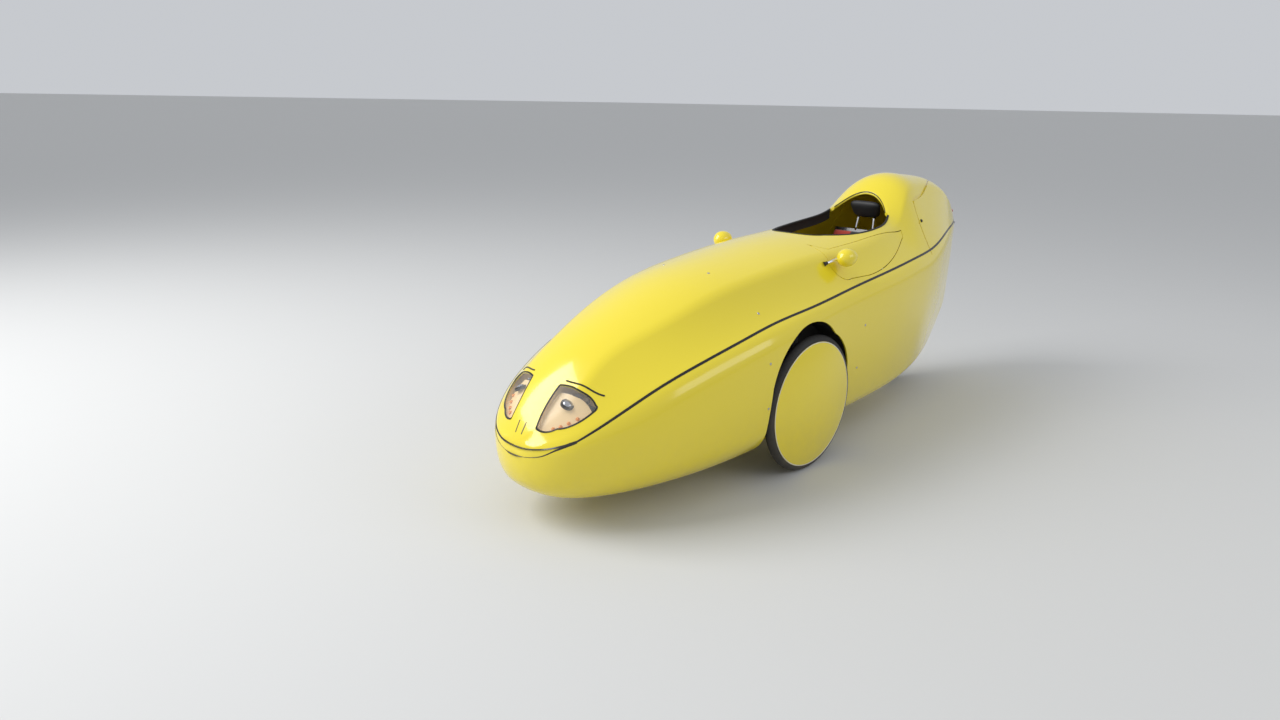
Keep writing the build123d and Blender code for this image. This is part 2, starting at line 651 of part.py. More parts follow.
# Pedals
def build_pedals():
    """Bottom bracket on its post, cranks with the chainring, and two pedals."""
    post = rod((CRANK_X, 0, 80), (CRANK_X, 0, CRANK_Z), 18)
    post += rod((CRANK_X, -34, CRANK_Z), (CRANK_X, 34, CRANK_Z), 22)
    post -= rod((CRANK_X, -60, CRANK_Z), (CRANK_X, 60, CRANK_Z), 9 + RUN_FIT)
    post = post & inner_space("lower", 2, 7)
    node("crank_post", post)
    cranks = rod((CRANK_X, -CRANK_Y, CRANK_Z), (CRANK_X, CRANK_Y, CRANK_Z), 9)
    for side in (1, -1):
        y0, y1 = sorted((side * (CRANK_Y - 12), side * CRANK_Y))
        x0, x1 = sorted((CRANK_X, CRANK_X + side * CRANK_LENGTH))
        cranks += box(x0, x1, y0, y1, CRANK_Z - 11, CRANK_Z + 11)
        cranks += rod((CRANK_X, y0, CRANK_Z), (CRANK_X, y1, CRANK_Z), 18)
        end = CRANK_X + side * CRANK_LENGTH
        cranks += rod((end, y0, CRANK_Z), (end, y1, CRANK_Z), 14)
        cranks += rod((end, side * CRANK_Y, CRANK_Z), (end, side * (CRANK_Y + 60), CRANK_Z), 6)
        inner, outer = sorted((side * (CRANK_Y + 6), side * (CRANK_Y + 76)))
        pedal = box(end - 42, end + 42, inner, outer, CRANK_Z - 11, CRANK_Z + 11)
        pedal -= rod((end, side * CRANK_Y, CRANK_Z), (end, side * (CRANK_Y + 60.5), CRANK_Z), 6 + RUN_FIT)
        node("pedal_left" if side > 0 else "pedal_right", pedal)
    cranks += rod((CRANK_X, -46, CRANK_Z), (CRANK_X, -42, CRANK_Z), CHAINRING_R)
    node("cranks", cranks)


# Cockpit
def ribbon(points, thickness, width):
    """A strip of even thickness across the body, along a side-view line that is bent by arcs."""
    edges = []
    for piece in points:
        place = [(a, b) for a, b in piece]
        edges.append(Edge.make_line(*place) if len(place) == 2 else Edge.make_three_point_arc(*place))
    face = trace(Wire(edges), thickness)
    strip = extrude(Plane.XZ * face, width / 2, both=True)
    return strip


SEAT_LINE = [
    ((-305, 190), (-380, 140), (-470, 128)),
    ((-470, 128), (-555, 140), (-610, 205)),
    ((-610, 205), (-848, 738)),
]


def build_seat():
    """Seat shell on two rails, its pad, the headrest on two bent tubes."""
    seat = ribbon(SEAT_LINE, SEAT_T, SEAT_W)
    room = inner_space("lower", 6, 11)
    feet = [box(-520, -420, y - 8, y + 8, 80, 128) & room for y in (-90, 90)]
    node("seat_shell", seat + feet)
    pad_line = [
        ((-318, 205), (-388, 158), (-468, 147)),
        ((-468, 147), (-540, 158), (-592, 214)),
        ((-592, 214), (-822, 729)),
    ]
    node("seat_pad", ribbon(pad_line, 30, SEAT_W - 30))
    pad = Pos(*HEADREST) * Rot(0, 25, 0) * Box(32, 145, 74)
    pad = fillet(pad.edges(), 12)
    node("headrest_pad", pad)
    tubes = rod((-848, -40, 700), (-848, 40, 700), 6)
    for y in (-40, 40):
        tubes += Pos(-848, y, 700) * Sphere(6)
        tubes += rod((-848, y, 700), (-848, y, 745), 6)
        tubes += Pos(-848, y, 745) * Sphere(6)
        tubes += rod((-848, y, 745), (-858, y * 0.9, 800), 6)
    node("headrest_tubes", tubes - pad - seat)


# Lamps, mirrors and fittings
def build_lamps(hatch):
    """A tray behind each window with its round lamp, and the tail lamp."""
    room = inner_space("upper", 0, 8)
    tray = front_block(window_path(6), LAMP_BACK_X, 1060)
    tray -= front_block(window_path(3), LAMP_BACK_X + 3, 1100)
    link = box(LAMP_BACK_X, LAMP_BACK_X + 3, -60, 60, 380, 410)
    lamp = rod((LAMP_BACK_X + 3, LAMP_Y, LAMP_Z), (LAMP_FACE_X, LAMP_Y, LAMP_Z), LAMP_R)
    node("lamp_tray", (tray + mirrored(tray) + link) & room)
    node("headlamp_left", lamp & room)
    node("headlamp_right", mirrored(lamp) & room)
    lamp = Pos(-1620, 0, 748) * Rot(0, -52, 0) * Box(14, 22, 56)
    lamp -= hatch
    node("tail_lamp", lamp.solids().sort_by(Axis.X)[0])


def build_mirrors():
    """Egg-shaped mirror housings on short stems, each with its glass facing back."""
    x, y, z = MIRROR
    back, tip, wide = x - MIRROR_CUT, x + MIRROR_NOSE, MIRROR_R
    egg = [
        ((tip, 0), (x + 0.75 * MIRROR_NOSE, 0.64 * wide), (x, wide)),
        ((x, wide), (x - 0.5 * MIRROR_CUT, 0.96 * wide), (back, 0.84 * wide)),
        ((back, 0.84 * wide), (back, 0)),
        ((back, 0), (tip, 0)),
    ]
    housing = Solid.revolve(outline(egg, lambda a, b: (a, y + b, z)), 360, Axis((x, y, z), (1, 0, 0)))
    glass = rod((back - MIRROR_GLASS_T, y, z), (back, y, z), MIRROR_GLASS_R)
    foot = Vector(*MIRROR_FOOT)
    out = Vector(*MIRROR_FOOT_OUT).normalized()
    housing += rod(foot, foot + out * MIRROR_FOOT_H, MIRROR_FOOT_R)
    housing += rod(foot + out * 2, (x, y - 20, z), STEM_R)
    node("mirror_housing_left", housing)
    node("mirror_housing_right", mirrored(housing))
    node("mirror_glass_left", glass)
    node("mirror_glass_right", mirrored(glass))


PARTS = {}


def node(name, shape):
    """Keep one named piece, moved to the frame of the whole."""
    PARTS[name] = Pos(AXLE_AHEAD, 0, 0) * shape


if __name__ == "__main__":
    hatch = build_shells()
    build_edging()
    build_wells()
    build_front_wheel()
    build_rear_wheel()
    build_swing_arm()
    build_steering()
    build_pedals()
    build_seat()
    build_lamps(hatch)
    build_mirrors()
    os.makedirs("parts", exist_ok=True)
    for name, shape in PARTS.items():
        export_step(shape, os.path.join("parts", name + ".step"))
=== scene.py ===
# %% [markdown]
# # A velomobile
# A velomobile is a pedal three-wheeler in a closed, streamlined shell of thin glass-fibre panels. The frame
# holds its construction. This script gives each part the surface that the eye expects: painted shell panels
# with even reflections, tyres with tread, a padded seat, lamps behind clear windows and fine dark lines on
# the paint.

# %% Tools and the frame
import math

import bmesh
import bpy
import numpy as np
from mathutils import Matrix, Vector


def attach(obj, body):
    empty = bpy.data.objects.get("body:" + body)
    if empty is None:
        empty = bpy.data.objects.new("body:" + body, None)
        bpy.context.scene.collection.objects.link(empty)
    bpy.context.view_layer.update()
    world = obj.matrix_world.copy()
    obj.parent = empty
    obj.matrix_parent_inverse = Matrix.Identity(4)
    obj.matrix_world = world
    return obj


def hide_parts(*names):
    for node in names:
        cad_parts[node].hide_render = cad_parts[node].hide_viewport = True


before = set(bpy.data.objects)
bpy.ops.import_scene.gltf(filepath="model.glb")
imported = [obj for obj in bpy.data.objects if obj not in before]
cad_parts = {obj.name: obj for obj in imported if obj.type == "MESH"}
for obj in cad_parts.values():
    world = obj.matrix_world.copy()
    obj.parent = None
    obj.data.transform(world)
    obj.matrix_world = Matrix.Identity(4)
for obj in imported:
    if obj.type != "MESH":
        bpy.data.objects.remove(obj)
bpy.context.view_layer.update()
MM = 0.001
AXLE_AHEAD = 312.0
print("pieces in the frame:", len(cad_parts))

# %% [markdown]
# ## The shell as a surface
# The shell of the real vehicle comes from moulds that were faired from cross-sections. Here each section is
# seven tangent arcs a side: floor, corner, side, belt, hollow, shoulder and crown. A table keeps their
# sizes, and a cubic spline carries each point of the arcs from section to section. That gives one smooth
# surface of two parameters: the way along the body and the way round it. A sculpted mesh would never
# reflect as evenly.

# %% Section table
# x, floor z, corner r, side r, floor r, half width, widest z, belt r, hollow r, shoulder y, shoulder r,
# top z, crown r
SECTIONS = np.array([
    (1030, 160, 70, 150, 200, 80, 255, 30, 9000, 10, 30, 289, 120),
    (990, 118, 100, 300, 400, 156, 268, 50, 5000, 42, 70, 358, 220),
    (920, 95, 120, 500, 700, 218, 298, 75, 2000, 80, 80, 444, 300),
    (800, 82, 135, 800, 900, 280, 338, 95, 1200, 85, 85, 533, 400),
    (620, 78, 140, 1200, 1200, 330, 398, 100, 700, 118, 85, 618, 450),
    (400, 83, 135, 1600, 1600, 358, 456, 90, 450, 143, 80, 694, 500),
    (150, 90, 125, 1600, 1600, 364, 505, 75, 350, 160, 75, 738, 550),
    (-150, 88, 105, 1500, 1900, 347, 547, 70, 350, 168, 75, 771, 550),
    (-450, 90, 90, 1500, 1900, 336, 577, 70, 400, 166, 80, 796, 450),
    (-700, 98, 85, 1600, 1900, 318, 595, 75, 600, 130, 90, 838, 300),
    (-800, 105, 82, 1700, 1900, 305, 602, 80, 800, 110, 90, 865, 250),
    (-920, 118, 80, 1800, 1900, 285, 607, 85, 1500, 85, 70, 953, 200),
    (-1080, 138, 75, 2000, 1900, 245, 628, 95, 3000, 60, 60, 963, 160),
    (-1245, 180, 68, 2400, 1800, 190, 655, 100, 6000, 45, 50, 945, 120),
    (-1408, 238, 55, 3000, 1600, 128, 684, 85, 6000, 30, 40, 900, 90),
    (-1552, 305, 34, 5000, 1600, 68, 700, 55, 6000, 12, 30, 820, 60),
    (-1645, 370, 12, 9000, 1600, 20, 700, 20, 6000, 3, 14, 740, 30),
], float)
NOSE_TIP = np.array([1042.0, 0.0, 232.0])
WALL = 6.0
print("sections:", len(SECTIONS), "from x", SECTIONS[0, 0], "to", SECTIONS[-1, 0], "mm")

# %% Arcs of a section
def crossing(c0, r0, c1, r1, side):
    """Where two circles cross: along the line of centres, then off it to the given side."""
    d = c1 - c0
    span = np.hypot(d[:, 0], d[:, 1])
    along = (r0**2 - r1**2 + span**2) / (2 * span)
    off = side * np.sqrt(r0**2 - along**2)
    unit = d / span[:, None]
    return c0 + along[:, None] * unit + off[:, None] * np.stack([-unit[:, 1], unit[:, 0]], 1)


def heading(a, b):
    """Direction from a to b, in radians."""
    return np.arctan2(b[:, 1] - a[:, 1], b[:, 0] - a[:, 0])


def section_arcs(table):
    """Centre, radius, first angle and turn of the seven tangent arcs of each section: arrays (7, rows)."""
    (_, floor_z, corner_r, side_r, floor_r, half_w, wide_z,
     belt_r, hollow_r, shoulder_y, shoulder_r, top_z, crown_r) = table.T
    zero = np.zeros(len(table))
    side = np.stack([half_w - side_r, wide_z], 1)
    floor = np.stack([zero, floor_z + floor_r], 1)
    corner = crossing(side, side_r - corner_r, floor, floor_r - corner_r, -1)
    belt = np.stack([half_w - belt_r, wide_z], 1)
    crown = np.stack([zero, top_z - crown_r], 1)
    reach = crown_r - shoulder_r
    shoulder = np.stack([shoulder_y, crown[:, 1] + np.sqrt(reach**2 - shoulder_y**2)], 1)
    hollow = crossing(shoulder, shoulder_r + hollow_r, belt, belt_r + hollow_r, 1)
    arcs = [
        (floor, floor_r, zero - np.pi / 2, heading(floor, corner)),
        (corner, corner_r, heading(floor, corner), heading(side, corner)),
        (side, side_r, heading(side, corner), zero),
        (belt, belt_r, zero, heading(belt, hollow)),
        (hollow, hollow_r, heading(hollow, belt), heading(hollow, shoulder)),
        (shoulder, shoulder_r, heading(hollow, shoulder) + np.pi, heading(crown, shoulder)),
        (crown, crown_r, heading(crown, shoulder), zero + np.pi / 2),
    ]
    turns = [(end - start + np.pi) % (2 * np.pi) - np.pi for _, _, start, end in arcs]
    return [(centre, radius, start, turn) for (centre, radius, start, _), turn in zip(arcs, turns)]


ARCS = section_arcs(SECTIONS)
ROUND_END = float(len(ARCS))
HOLLOW = 4  # the number of the arc that bends inward
print("arcs a side:", len(ARCS))


def section_points(v, out):
    """Section points at round parameter v (arc number plus the share of its turn), moved outward by out."""
    v = np.asarray(v, float)
    which = np.clip(np.floor(v).astype(int), 0, len(ARCS) - 1)
    share = v - which
    points = np.zeros((len(SECTIONS), len(v), 2))
    for k, (centre, radius, start, turn) in enumerate(ARCS):
        pick = which == k
        angle = start[:, None] + turn[:, None] * share[pick][None, :]
        reach = radius - out if k == HOLLOW else radius + out
        points[:, pick, 0] = centre[:, :1] + reach[:, None] * np.cos(angle)
        points[:, pick, 1] = centre[:, 1:] + reach[:, None] * np.sin(angle)
    return points


# %% Spline along the body
def spline_weights(knots, at):
    """Weights of a not-a-knot cubic spline: rows for places in at, columns for the knots. The second slopes
    at the knots follow from equal first slopes on both sides of each one."""
    n = len(knots)
    h = np.diff(knots)
    left, right = np.zeros((n, n)), np.zeros((n, n))
    for i in range(1, n - 1):
        left[i, i - 1:i + 2] = h[i - 1], 2 * (h[i - 1] + h[i]), h[i]
        right[i, i - 1:i + 2] = 6 / h[i - 1], -6 / h[i - 1] - 6 / h[i], 6 / h[i]
    left[0, :3] = -h[1], h[0] + h[1], -h[0]
    left[-1, -3:] = -h[-1], h[-1] + h[-2], -h[-2]
    second = np.linalg.solve(left, right)
    i = np.clip(np.searchsorted(knots, at, side="right") - 1, 0, n - 2)
    a = (knots[i + 1] - at) / h[i]
    b = (at - knots[i]) / h[i]
    unit = np.eye(n)
    bend_a = ((a**3 - a) * h[i]**2 / 6)[:, None] * second[i]
    bend_b = ((b**3 - b) * h[i]**2 / 6)[:, None] * second[i + 1]
    return a[:, None] * unit[i] + b[:, None] * unit[i + 1] + (bend_a + bend_b)


def chord_knots():
    """Knots of the sections along the body: the mean length of the chords between neighbouring sections."""
    points = section_points(np.linspace(0, ROUND_END, 4 * len(ARCS) + 1), 0)
    steps = np.hypot(np.linalg.norm(np.diff(points, axis=0), axis=2), np.diff(SECTIONS[:, 0])[:, None])
    return np.concatenate([[0], np.cumsum(steps.mean(1))])


KNOTS = chord_knots()
NOSE_RUN = 12.0
NOSE_LEAN = 0.9
TAIL_RUN = 6.0
print("way along the body from the first to the last section:", round(KNOTS[-1]), "mm")


def skin(u, v, out=0.0):
    """Point of the shell: u is the way along the body in millimetres, v the way round it from the floor's
    middle (0) to the crown's middle (7), negative on the right-hand side. The point is the spline of the
    section points. In front of the first section the cap of an ellipse closes it to the nose tip: its width
    goes with the root of one less the square of the height, which runs from NOSE_LEAN to one. Behind the last
    section it closes to the middle plane in the same way, with a height from nought to one."""
    u, v = np.broadcast_arrays(np.asarray(u, float), np.asarray(v, float))
    flat_u, flat_v = u.ravel(), v.ravel()
    ring, back = np.unique(np.abs(flat_v), return_inverse=True)
    rows, along = np.unique(np.clip(flat_u, 0, KNOTS[-1]), return_inverse=True)
    weights = spline_weights(KNOTS, rows)
    profile = section_points(ring, out)
    # A grid shares its rows and rings, so one product serves all of it. Scattered places are done singly.
    if len(rows) * len(ring) < 4 * len(flat_u) + 1000:
        y = (weights @ profile[:, :, 0])[along, back]
        z = (weights @ profile[:, :, 1])[along, back]
    else:
        y = np.einsum("ij,ji->i", weights[along], profile[:, back, 0])
        z = np.einsum("ij,ji->i", weights[along], profile[:, back, 1])
    x = (weights @ SECTIONS[:, 0])[along]
    points = np.stack([x, y * np.where(flat_v < 0, -1, 1), z], 1)
    pull = np.clip(-flat_u / NOSE_RUN, 0, 1)
    lean = NOSE_LEAN + (1 - NOSE_LEAN) * pull
    shrink = (1 - np.sqrt(1 - lean**2) / math.sqrt(1 - NOSE_LEAN**2))[:, None]
    points[:, 1:] += (NOSE_TIP[1:] - points[:, 1:]) * shrink
    points[:, 0] += (NOSE_RUN + np.minimum(out, 0)) * pull * (pull > 0)
    past = np.clip((flat_u - KNOTS[-1]) / TAIL_RUN, 0, 1)
    points[:, 0] -= (TAIL_RUN + np.minimum(out, 0)) * past
    points[:, 1] *= np.sqrt(1 - past**2)
    return points.reshape(u.shape + (3,))


# %% [markdown]
# ## Cutting panels out of the surface
# The mould is one piece, but the vehicle is split where its panels meet. Each panel is a grid on the
# surface that is trimmed along its outline: cells that the outline crosses are clipped where a signed
# distance changes sign, as in marching squares. The edge then lies exactly on the outline, which a boolean
# on a coarse mesh can't promise.

# %% Outlines
def arc_through(a, b, c, steps=16):
    """Points of the arc from a through b to c: the centre is where the two chords' perpendiculars meet."""
    a, b, c = (np.asarray(p, float) for p in (a, b, c))
    rows = np.stack([b - a, c - b])
    if abs(np.linalg.det(rows)) < 1e-9:
        return a + np.linspace(0, 1, steps + 1)[:, None] * (c - a)
    centre = np.linalg.solve(rows, [(b @ b - a @ a) / 2, (c @ c - b @ b) / 2])
    angles = np.unwrap([math.atan2(*(p - centre)[::-1]) for p in (a, b, c)])
    turn = np.linspace(angles[0], angles[2], steps + 1)
    return centre + np.linalg.norm(a - centre) * np.stack([np.cos(turn), np.sin(turn)], 1)


def outline(path):
    """A closed line of points from lines (two points) and arcs (three points)."""
    runs = [np.array(piece, float) if len(piece) == 2 else arc_through(*piece) for piece in path]
    return np.concatenate([run[:-1] for run in runs])


def signed(points, line):
    """Distance of 2-D points to a closed line, positive inside it."""
    points = points.reshape(-1, 2)
    start, end = line, np.roll(line, -1, axis=0)
    best = np.full(len(points), 1e9)
    inside = np.zeros(len(points), bool)
    for a, b in zip(start, end):
        edge = b - a
        rel = points - a
        share = np.clip(rel @ edge / (edge @ edge + 1e-12), 0, 1)
        best = np.minimum(best, np.hypot(*(rel - share[:, None] * edge).T))
        if a[1] != b[1]:
            crosses = (a[1] > points[:, 1]) != (b[1] > points[:, 1])
            inside ^= crosses & (points[:, 0] < edge[0] * (points[:, 1] - a[1]) / edge[1] + a[0])
    return np.where(inside, best, -best)


TYRE_R = 243.0
ARCH_FRONT_X, ARCH_REAR_R, ARCH_CREST, ARCH_SHOULDER_Z = 258.0, 262.0, (60.0, 545.0), 360.0
WELL_INNER_Y = 222.0
WINDOW_REAR_X = 700.0
OPENING_FRONT_X, OPENING_HALF_W, OPENING_WIDE_X, OPENING_REAR_X = -270.0, 172.0, -640.0, -868.0
OPENING_POINT, OPENING_TAPER, OPENING_REAR_ROUND = 90.0, 240.0, 75.0
POINT_SHARE, TAPER_SHARE, REAR_SHARE = 0.66, 0.955, 0.79  # of the half width, where each of these ends
SURROUND_FRONT_X, SURROUND_CORNER_X, SURROUND_HALF_W = -165.0, -260.0, 196.0
TONGUE_CORNER, TONGUE_BEND, TONGUE_TIP_X = (-955.0, 148.0), (-1120.0, 110.0), -1360.0
HATCH_FRONT_X, HATCH_GAP, SEAM_GAP = -950.0, 5.0, 2.0
SIDE_PANEL_FRONT_X, SIDE_PANEL_REAR_X, SIDE_PANEL_LOW_Z = -210.0, -812.0, 641.0
SIDE_PANEL_INNER_Y, SIDE_PANEL_TOP_Z = 100.0, 800.0
SIDE_PANEL_FRONT_Z, SIDE_PANEL_BEND_Z, SIDE_PANEL_REAR_Z = 700.0, 655.0, 738.0
WHEELBASE, SLOT_LENGTH, SLOT_HALF_W, SLOT_TOP_Z = 1200.0, 500.0, 33.0, 400.0
print("cockpit opening:", OPENING_FRONT_X - OPENING_REAR_X, "by", 2 * OPENING_HALF_W, "mm")


def arch_line():
    """The wheel arch in side view (x, z): round the tyre behind, higher and straighter in front."""
    turn, middle, low = math.radians(115), math.radians(147.5), -60.0
    bend = (ARCH_REAR_R * math.cos(turn), TYRE_R + ARCH_REAR_R * math.sin(turn))
    between = (ARCH_REAR_R * math.cos(middle), TYRE_R + ARCH_REAR_R * math.sin(middle))
    front = (ARCH_FRONT_X, ARCH_SHOULDER_Z)
    return outline([
        ((-ARCH_REAR_R, low), (-ARCH_REAR_R, TYRE_R)),
        ((-ARCH_REAR_R, TYRE_R), between, bend),
        (bend, ARCH_CREST, front),
        (front, (ARCH_FRONT_X, low)),
        ((ARCH_FRONT_X, low), (-ARCH_REAR_R, low)),
    ])


def opening_line(margin):
    """The cockpit opening in plan (x, y): a pointed front, widest by the shoulders, round under the hood."""
    front, rear = OPENING_FRONT_X + margin, OPENING_REAR_X - margin
    half = OPENING_HALF_W + margin
    fore_x, aft_x = OPENING_FRONT_X - OPENING_POINT, OPENING_REAR_X + OPENING_REAR_ROUND
    fore_y = OPENING_HALF_W * POINT_SHARE + margin * 0.9
    aft_y = OPENING_HALF_W * REAR_SHARE + margin * 0.8
    near_x, near = OPENING_FRONT_X - OPENING_TAPER, half * TAPER_SHARE
    bend_x, bend_y = (OPENING_WIDE_X + aft_x) / 2, half - (half - aft_y) / 4
    return outline([
        ((fore_x, -fore_y), (front, 0), (fore_x, fore_y)),
        ((fore_x, fore_y), (near_x, near), (OPENING_WIDE_X, half)),
        ((OPENING_WIDE_X, half), (bend_x, bend_y), (aft_x, aft_y)),
        ((aft_x, aft_y), (rear, 0), (aft_x, -aft_y)),
        ((aft_x, -aft_y), (bend_x, -bend_y), (OPENING_WIDE_X, -half)),
        ((OPENING_WIDE_X, -half), (near_x, -near), (fore_x, -fore_y)),
    ])


def surround_line(margin):
    """The panel round the cockpit in plan: rounded in front, with a tongue back into the hatch."""
    front, half = SURROUND_FRONT_X + margin, SURROUND_HALF_W + margin
    corner, tongue = TONGUE_CORNER[0] - margin, TONGUE_CORNER[1] + margin
    bend = (TONGUE_BEND[0] - margin, TONGUE_BEND[1] + margin)
    tip = TONGUE_TIP_X - 2 * margin
    return outline([
        ((SURROUND_CORNER_X, -half), (front, 0), (SURROUND_CORNER_X, half)),
        ((SURROUND_CORNER_X, half), (HATCH_FRONT_X, half)),
        ((HATCH_FRONT_X, half), (corner, tongue)),
        ((corner, tongue), bend, (tip, 0)),
        ((tip, 0), (bend[0], -bend[1]), (corner, -tongue)),
        ((corner, -tongue), (HATCH_FRONT_X, -half)),
        ((HATCH_FRONT_X, -half), (SURROUND_CORNER_X, -half)),
    ])


def side_panel_line(margin):
    """The side panel in side view (x, z): a shallow U below the cockpit panel."""
    top = SIDE_PANEL_TOP_Z
    front, aft, low = SIDE_PANEL_FRONT_X + margin, SIDE_PANEL_REAR_X - margin, SIDE_PANEL_LOW_Z - margin
    rise = SIDE_PANEL_REAR_Z - margin
    return outline([
        ((front, top), (front, SIDE_PANEL_FRONT_Z)),
        ((front, SIDE_PANEL_FRONT_Z), (front - 20, SIDE_PANEL_BEND_Z - margin * 0.7), (front - 75, low)),
        ((front - 75, low), (-400, low)),
        ((-400, low), (-600, low + 30), (aft + 25, rise)),
        ((aft + 25, rise), (aft, top)),
        ((aft, top), (front, top)),
    ])


def window_line():
    """A lamp window in front view (y, z): a leaning almond, its low corner towards the nose."""
    return outline([
        ((62, 446), (56, 385), (58, 332)),
        ((58, 332), (80, 327), (120, 340)),
        ((120, 340), (160, 356), (186, 389)),
        ((186, 389), (188, 396), (182, 404)),
        ((182, 404), (125, 441), (62, 446)),
    ])


# %% [markdown]
# ## What each panel keeps
# Each panel keeps the points inside its own outline and outside its neighbours'. A function per panel gives
# a number that is positive there: the smaller of two such numbers keeps what both keep, and the larger what
# either keeps. Boolean modifiers could say the same, but each would need a cutter with the right thickness.

# %% Which points each panel keeps
def plan(p):
    """Points seen from above: (x, y)."""
    return p[:, [0, 1]]


def side_view(p):
    """Points seen from the side: (x, z)."""
    return p[:, [0, 2]]


def front_view(p):
    """Points seen from ahead, both sides laid on the left: (y, z)."""
    return np.stack([np.abs(p[:, 1]), p[:, 2]], 1)


def in_window(p):
    """Inside either lamp window, near the nose only."""
    return np.minimum(signed(front_view(p), window_line()), p[:, 0] - WINDOW_REAR_X)


def keep_lower(p):
    """The lower shell without the wheel arches and the slot under the rear wheel."""
    arch = np.minimum(signed(side_view(p), arch_line()), np.abs(p[:, 1]) - WELL_INNER_Y)
    slot = np.minimum(SLOT_LENGTH / 2 - np.abs(p[:, 0] + WHEELBASE), SLOT_HALF_W - np.abs(p[:, 1]))
    return -np.maximum(arch, np.minimum(slot, SLOT_TOP_Z - p[:, 2]))


def keep_deck(p):
    """The upper shell in front, round the cockpit panel, the side panel and the lamp windows."""
    side = np.minimum(signed(side_view(p), side_panel_line(0)), p[:, 1] - SIDE_PANEL_INNER_Y)
    others = np.maximum(np.maximum(signed(plan(p), surround_line(0)), side), in_window(p))
    return np.minimum(-others, p[:, 0] - HATCH_FRONT_X)


def keep_cockpit(p):
    """The panel round the cockpit opening."""
    return np.minimum(signed(plan(p), surround_line(0)), -signed(plan(p), opening_line(0)))


def keep_side(p):
    """The side panel on the left."""
    inside = np.minimum(signed(side_view(p), side_panel_line(-SEAM_GAP)), p[:, 1] - SIDE_PANEL_INNER_Y)
    return np.minimum(inside, -signed(plan(p), surround_line(SEAM_GAP)))


def keep_hatch(p):
    """The tail hatch, behind its front edge and round the cockpit panel's tongue."""
    return np.minimum(HATCH_FRONT_X - HATCH_GAP - p[:, 0], -signed(plan(p), surround_line(HATCH_GAP)))


print("cockpit panel beside the opening:", SURROUND_HALF_W - OPENING_HALF_W, "mm wide")

# %% [markdown]
# ## Trimming a grid
# A panel starts as a grid on the surface. Cells inside the outline stay whole, and those that it crosses
# are cut. Halving the crossed edge a few times finds the place where the keep function is nought, without
# any knife tool.

# %% Trimmed sheets
NOSE_LINES = -NOSE_RUN * np.sin(np.linspace(np.pi / 2, 0, 26)[:-1])
ALONG = 9.0
ROUND_COUNTS = (14, 14, 26, 12, 16, 12, 16)
JOIN = 4  # the round parameter of the join between the two halves
LOWER, UPPER = (0, JOIN), (JOIN, len(ARCS))
HALVINGS = 9


def way_lines(first, last):
    """Grid lines along the body between two ways, with the nose's own lines in front of the first section."""
    lines = np.linspace(max(first, 0), last, max(2, int((last - max(first, 0)) / ALONG)))
    return np.concatenate([NOSE_LINES, lines]) if first < 0 else lines


def round_lines(part):
    """Grid lines round both sides of the lower or upper half, as a running number that passes the middle."""
    first, last = part
    arcs = [k + np.arange(ROUND_COUNTS[k]) / ROUND_COUNTS[k] for k in range(first, last)]
    half = np.concatenate(arcs + [[last]])
    if part == LOWER:
        return np.concatenate([-half[:0:-1], half])
    return np.concatenate([half, 2 * ROUND_END - half[-2::-1]])


def fold(w):
    """Running number to round parameter: past the crown's middle it comes back on the right-hand side."""
    return np.where(w <= ROUND_END, w, w - 2 * ROUND_END)


def cut_edges(uu, ww, inside, keep):
    """Places (u, w) at which the outline cuts the grid's edges, each found by halving its edge, and their
    numbers, for the edges along and round the body. The numbers count on from the grid's own points."""
    m, n = inside.shape
    along = ((slice(0, m - 1), slice(0, n)), (slice(1, m), slice(0, n)))
    across = ((slice(0, m), slice(0, n - 1)), (slice(0, m), slice(1, n)))
    places, cuts, total = [], [], m * n
    for a, b in (along, across):
        cut = inside[a] != inside[b]
        near = np.stack([uu[a][cut], ww[a][cut]], 1)
        far = np.stack([uu[b][cut], ww[b][cut]], 1)
        near_in = inside[a][cut]
        for _ in range(HALVINGS):
            half = (near + far) / 2
            same = (keep(skin(half[:, 0], fold(half[:, 1]))) > 0) == near_in
            near = np.where(same[:, None], half, near)
            far = np.where(same[:, None], far, half)
        ids = np.full(cut.shape, -1)
        ids[cut] = total + np.arange(cut.sum())
        total += int(cut.sum())
        places.append((near + far) / 2)
        cuts.append(ids)
    return places, cuts


def cell_faces(inside, cuts):
    """Faces of a trimmed grid: each cell's inside corners and cuts, in turn. All cells with the same corners
    inside have faces of the same kind, so each of the fifteen patterns fills one array."""
    m, n = inside.shape
    numbers = np.arange(m * n).reshape(m, n)
    along, across = cuts
    corners = [numbers[:-1, :-1], numbers[1:, :-1], numbers[1:, 1:], numbers[:-1, 1:]]
    edges = [along[:, :-1], across[1:, :], along[:, 1:], across[:-1, :]]
    signs = [inside[:-1, :-1], inside[1:, :-1], inside[1:, 1:], inside[:-1, 1:]]
    pattern = sum(s.astype(int) << k for k, s in enumerate(signs))
    faces = []
    for case in range(1, 16):
        cells = pattern == case
        if not cells.any():
            continue
        ring = []
        for k in range(4):
            here, following = case >> k & 1, case >> (k + 1) % 4 & 1
            if here:
                ring.append(corners[k][cells])
            if here != following:
                ring.append(edges[k][cells])
        faces.append(np.stack(ring, 1))
    return faces


def trimmed(u_lines, w_lines, keep):
    """Places (u, w) and faces of the part of a grid where keep is positive."""
    uu, ww = np.meshgrid(u_lines, w_lines, indexing="ij")
    inside = keep(skin(uu, fold(ww)).reshape(-1, 3)).reshape(uu.shape) > 0
    cut_places, cuts = cut_edges(uu, ww, inside, keep)
    faces = cell_faces(inside, cuts)
    places = np.concatenate([np.stack([uu.ravel(), ww.ravel()], 1)] + cut_places)
    used = np.unique(np.concatenate([f.ravel() for f in faces]))
    renumber = np.full(len(places), -1)
    renumber[used] = np.arange(len(used))
    return places[used], [renumber[f] for f in faces]


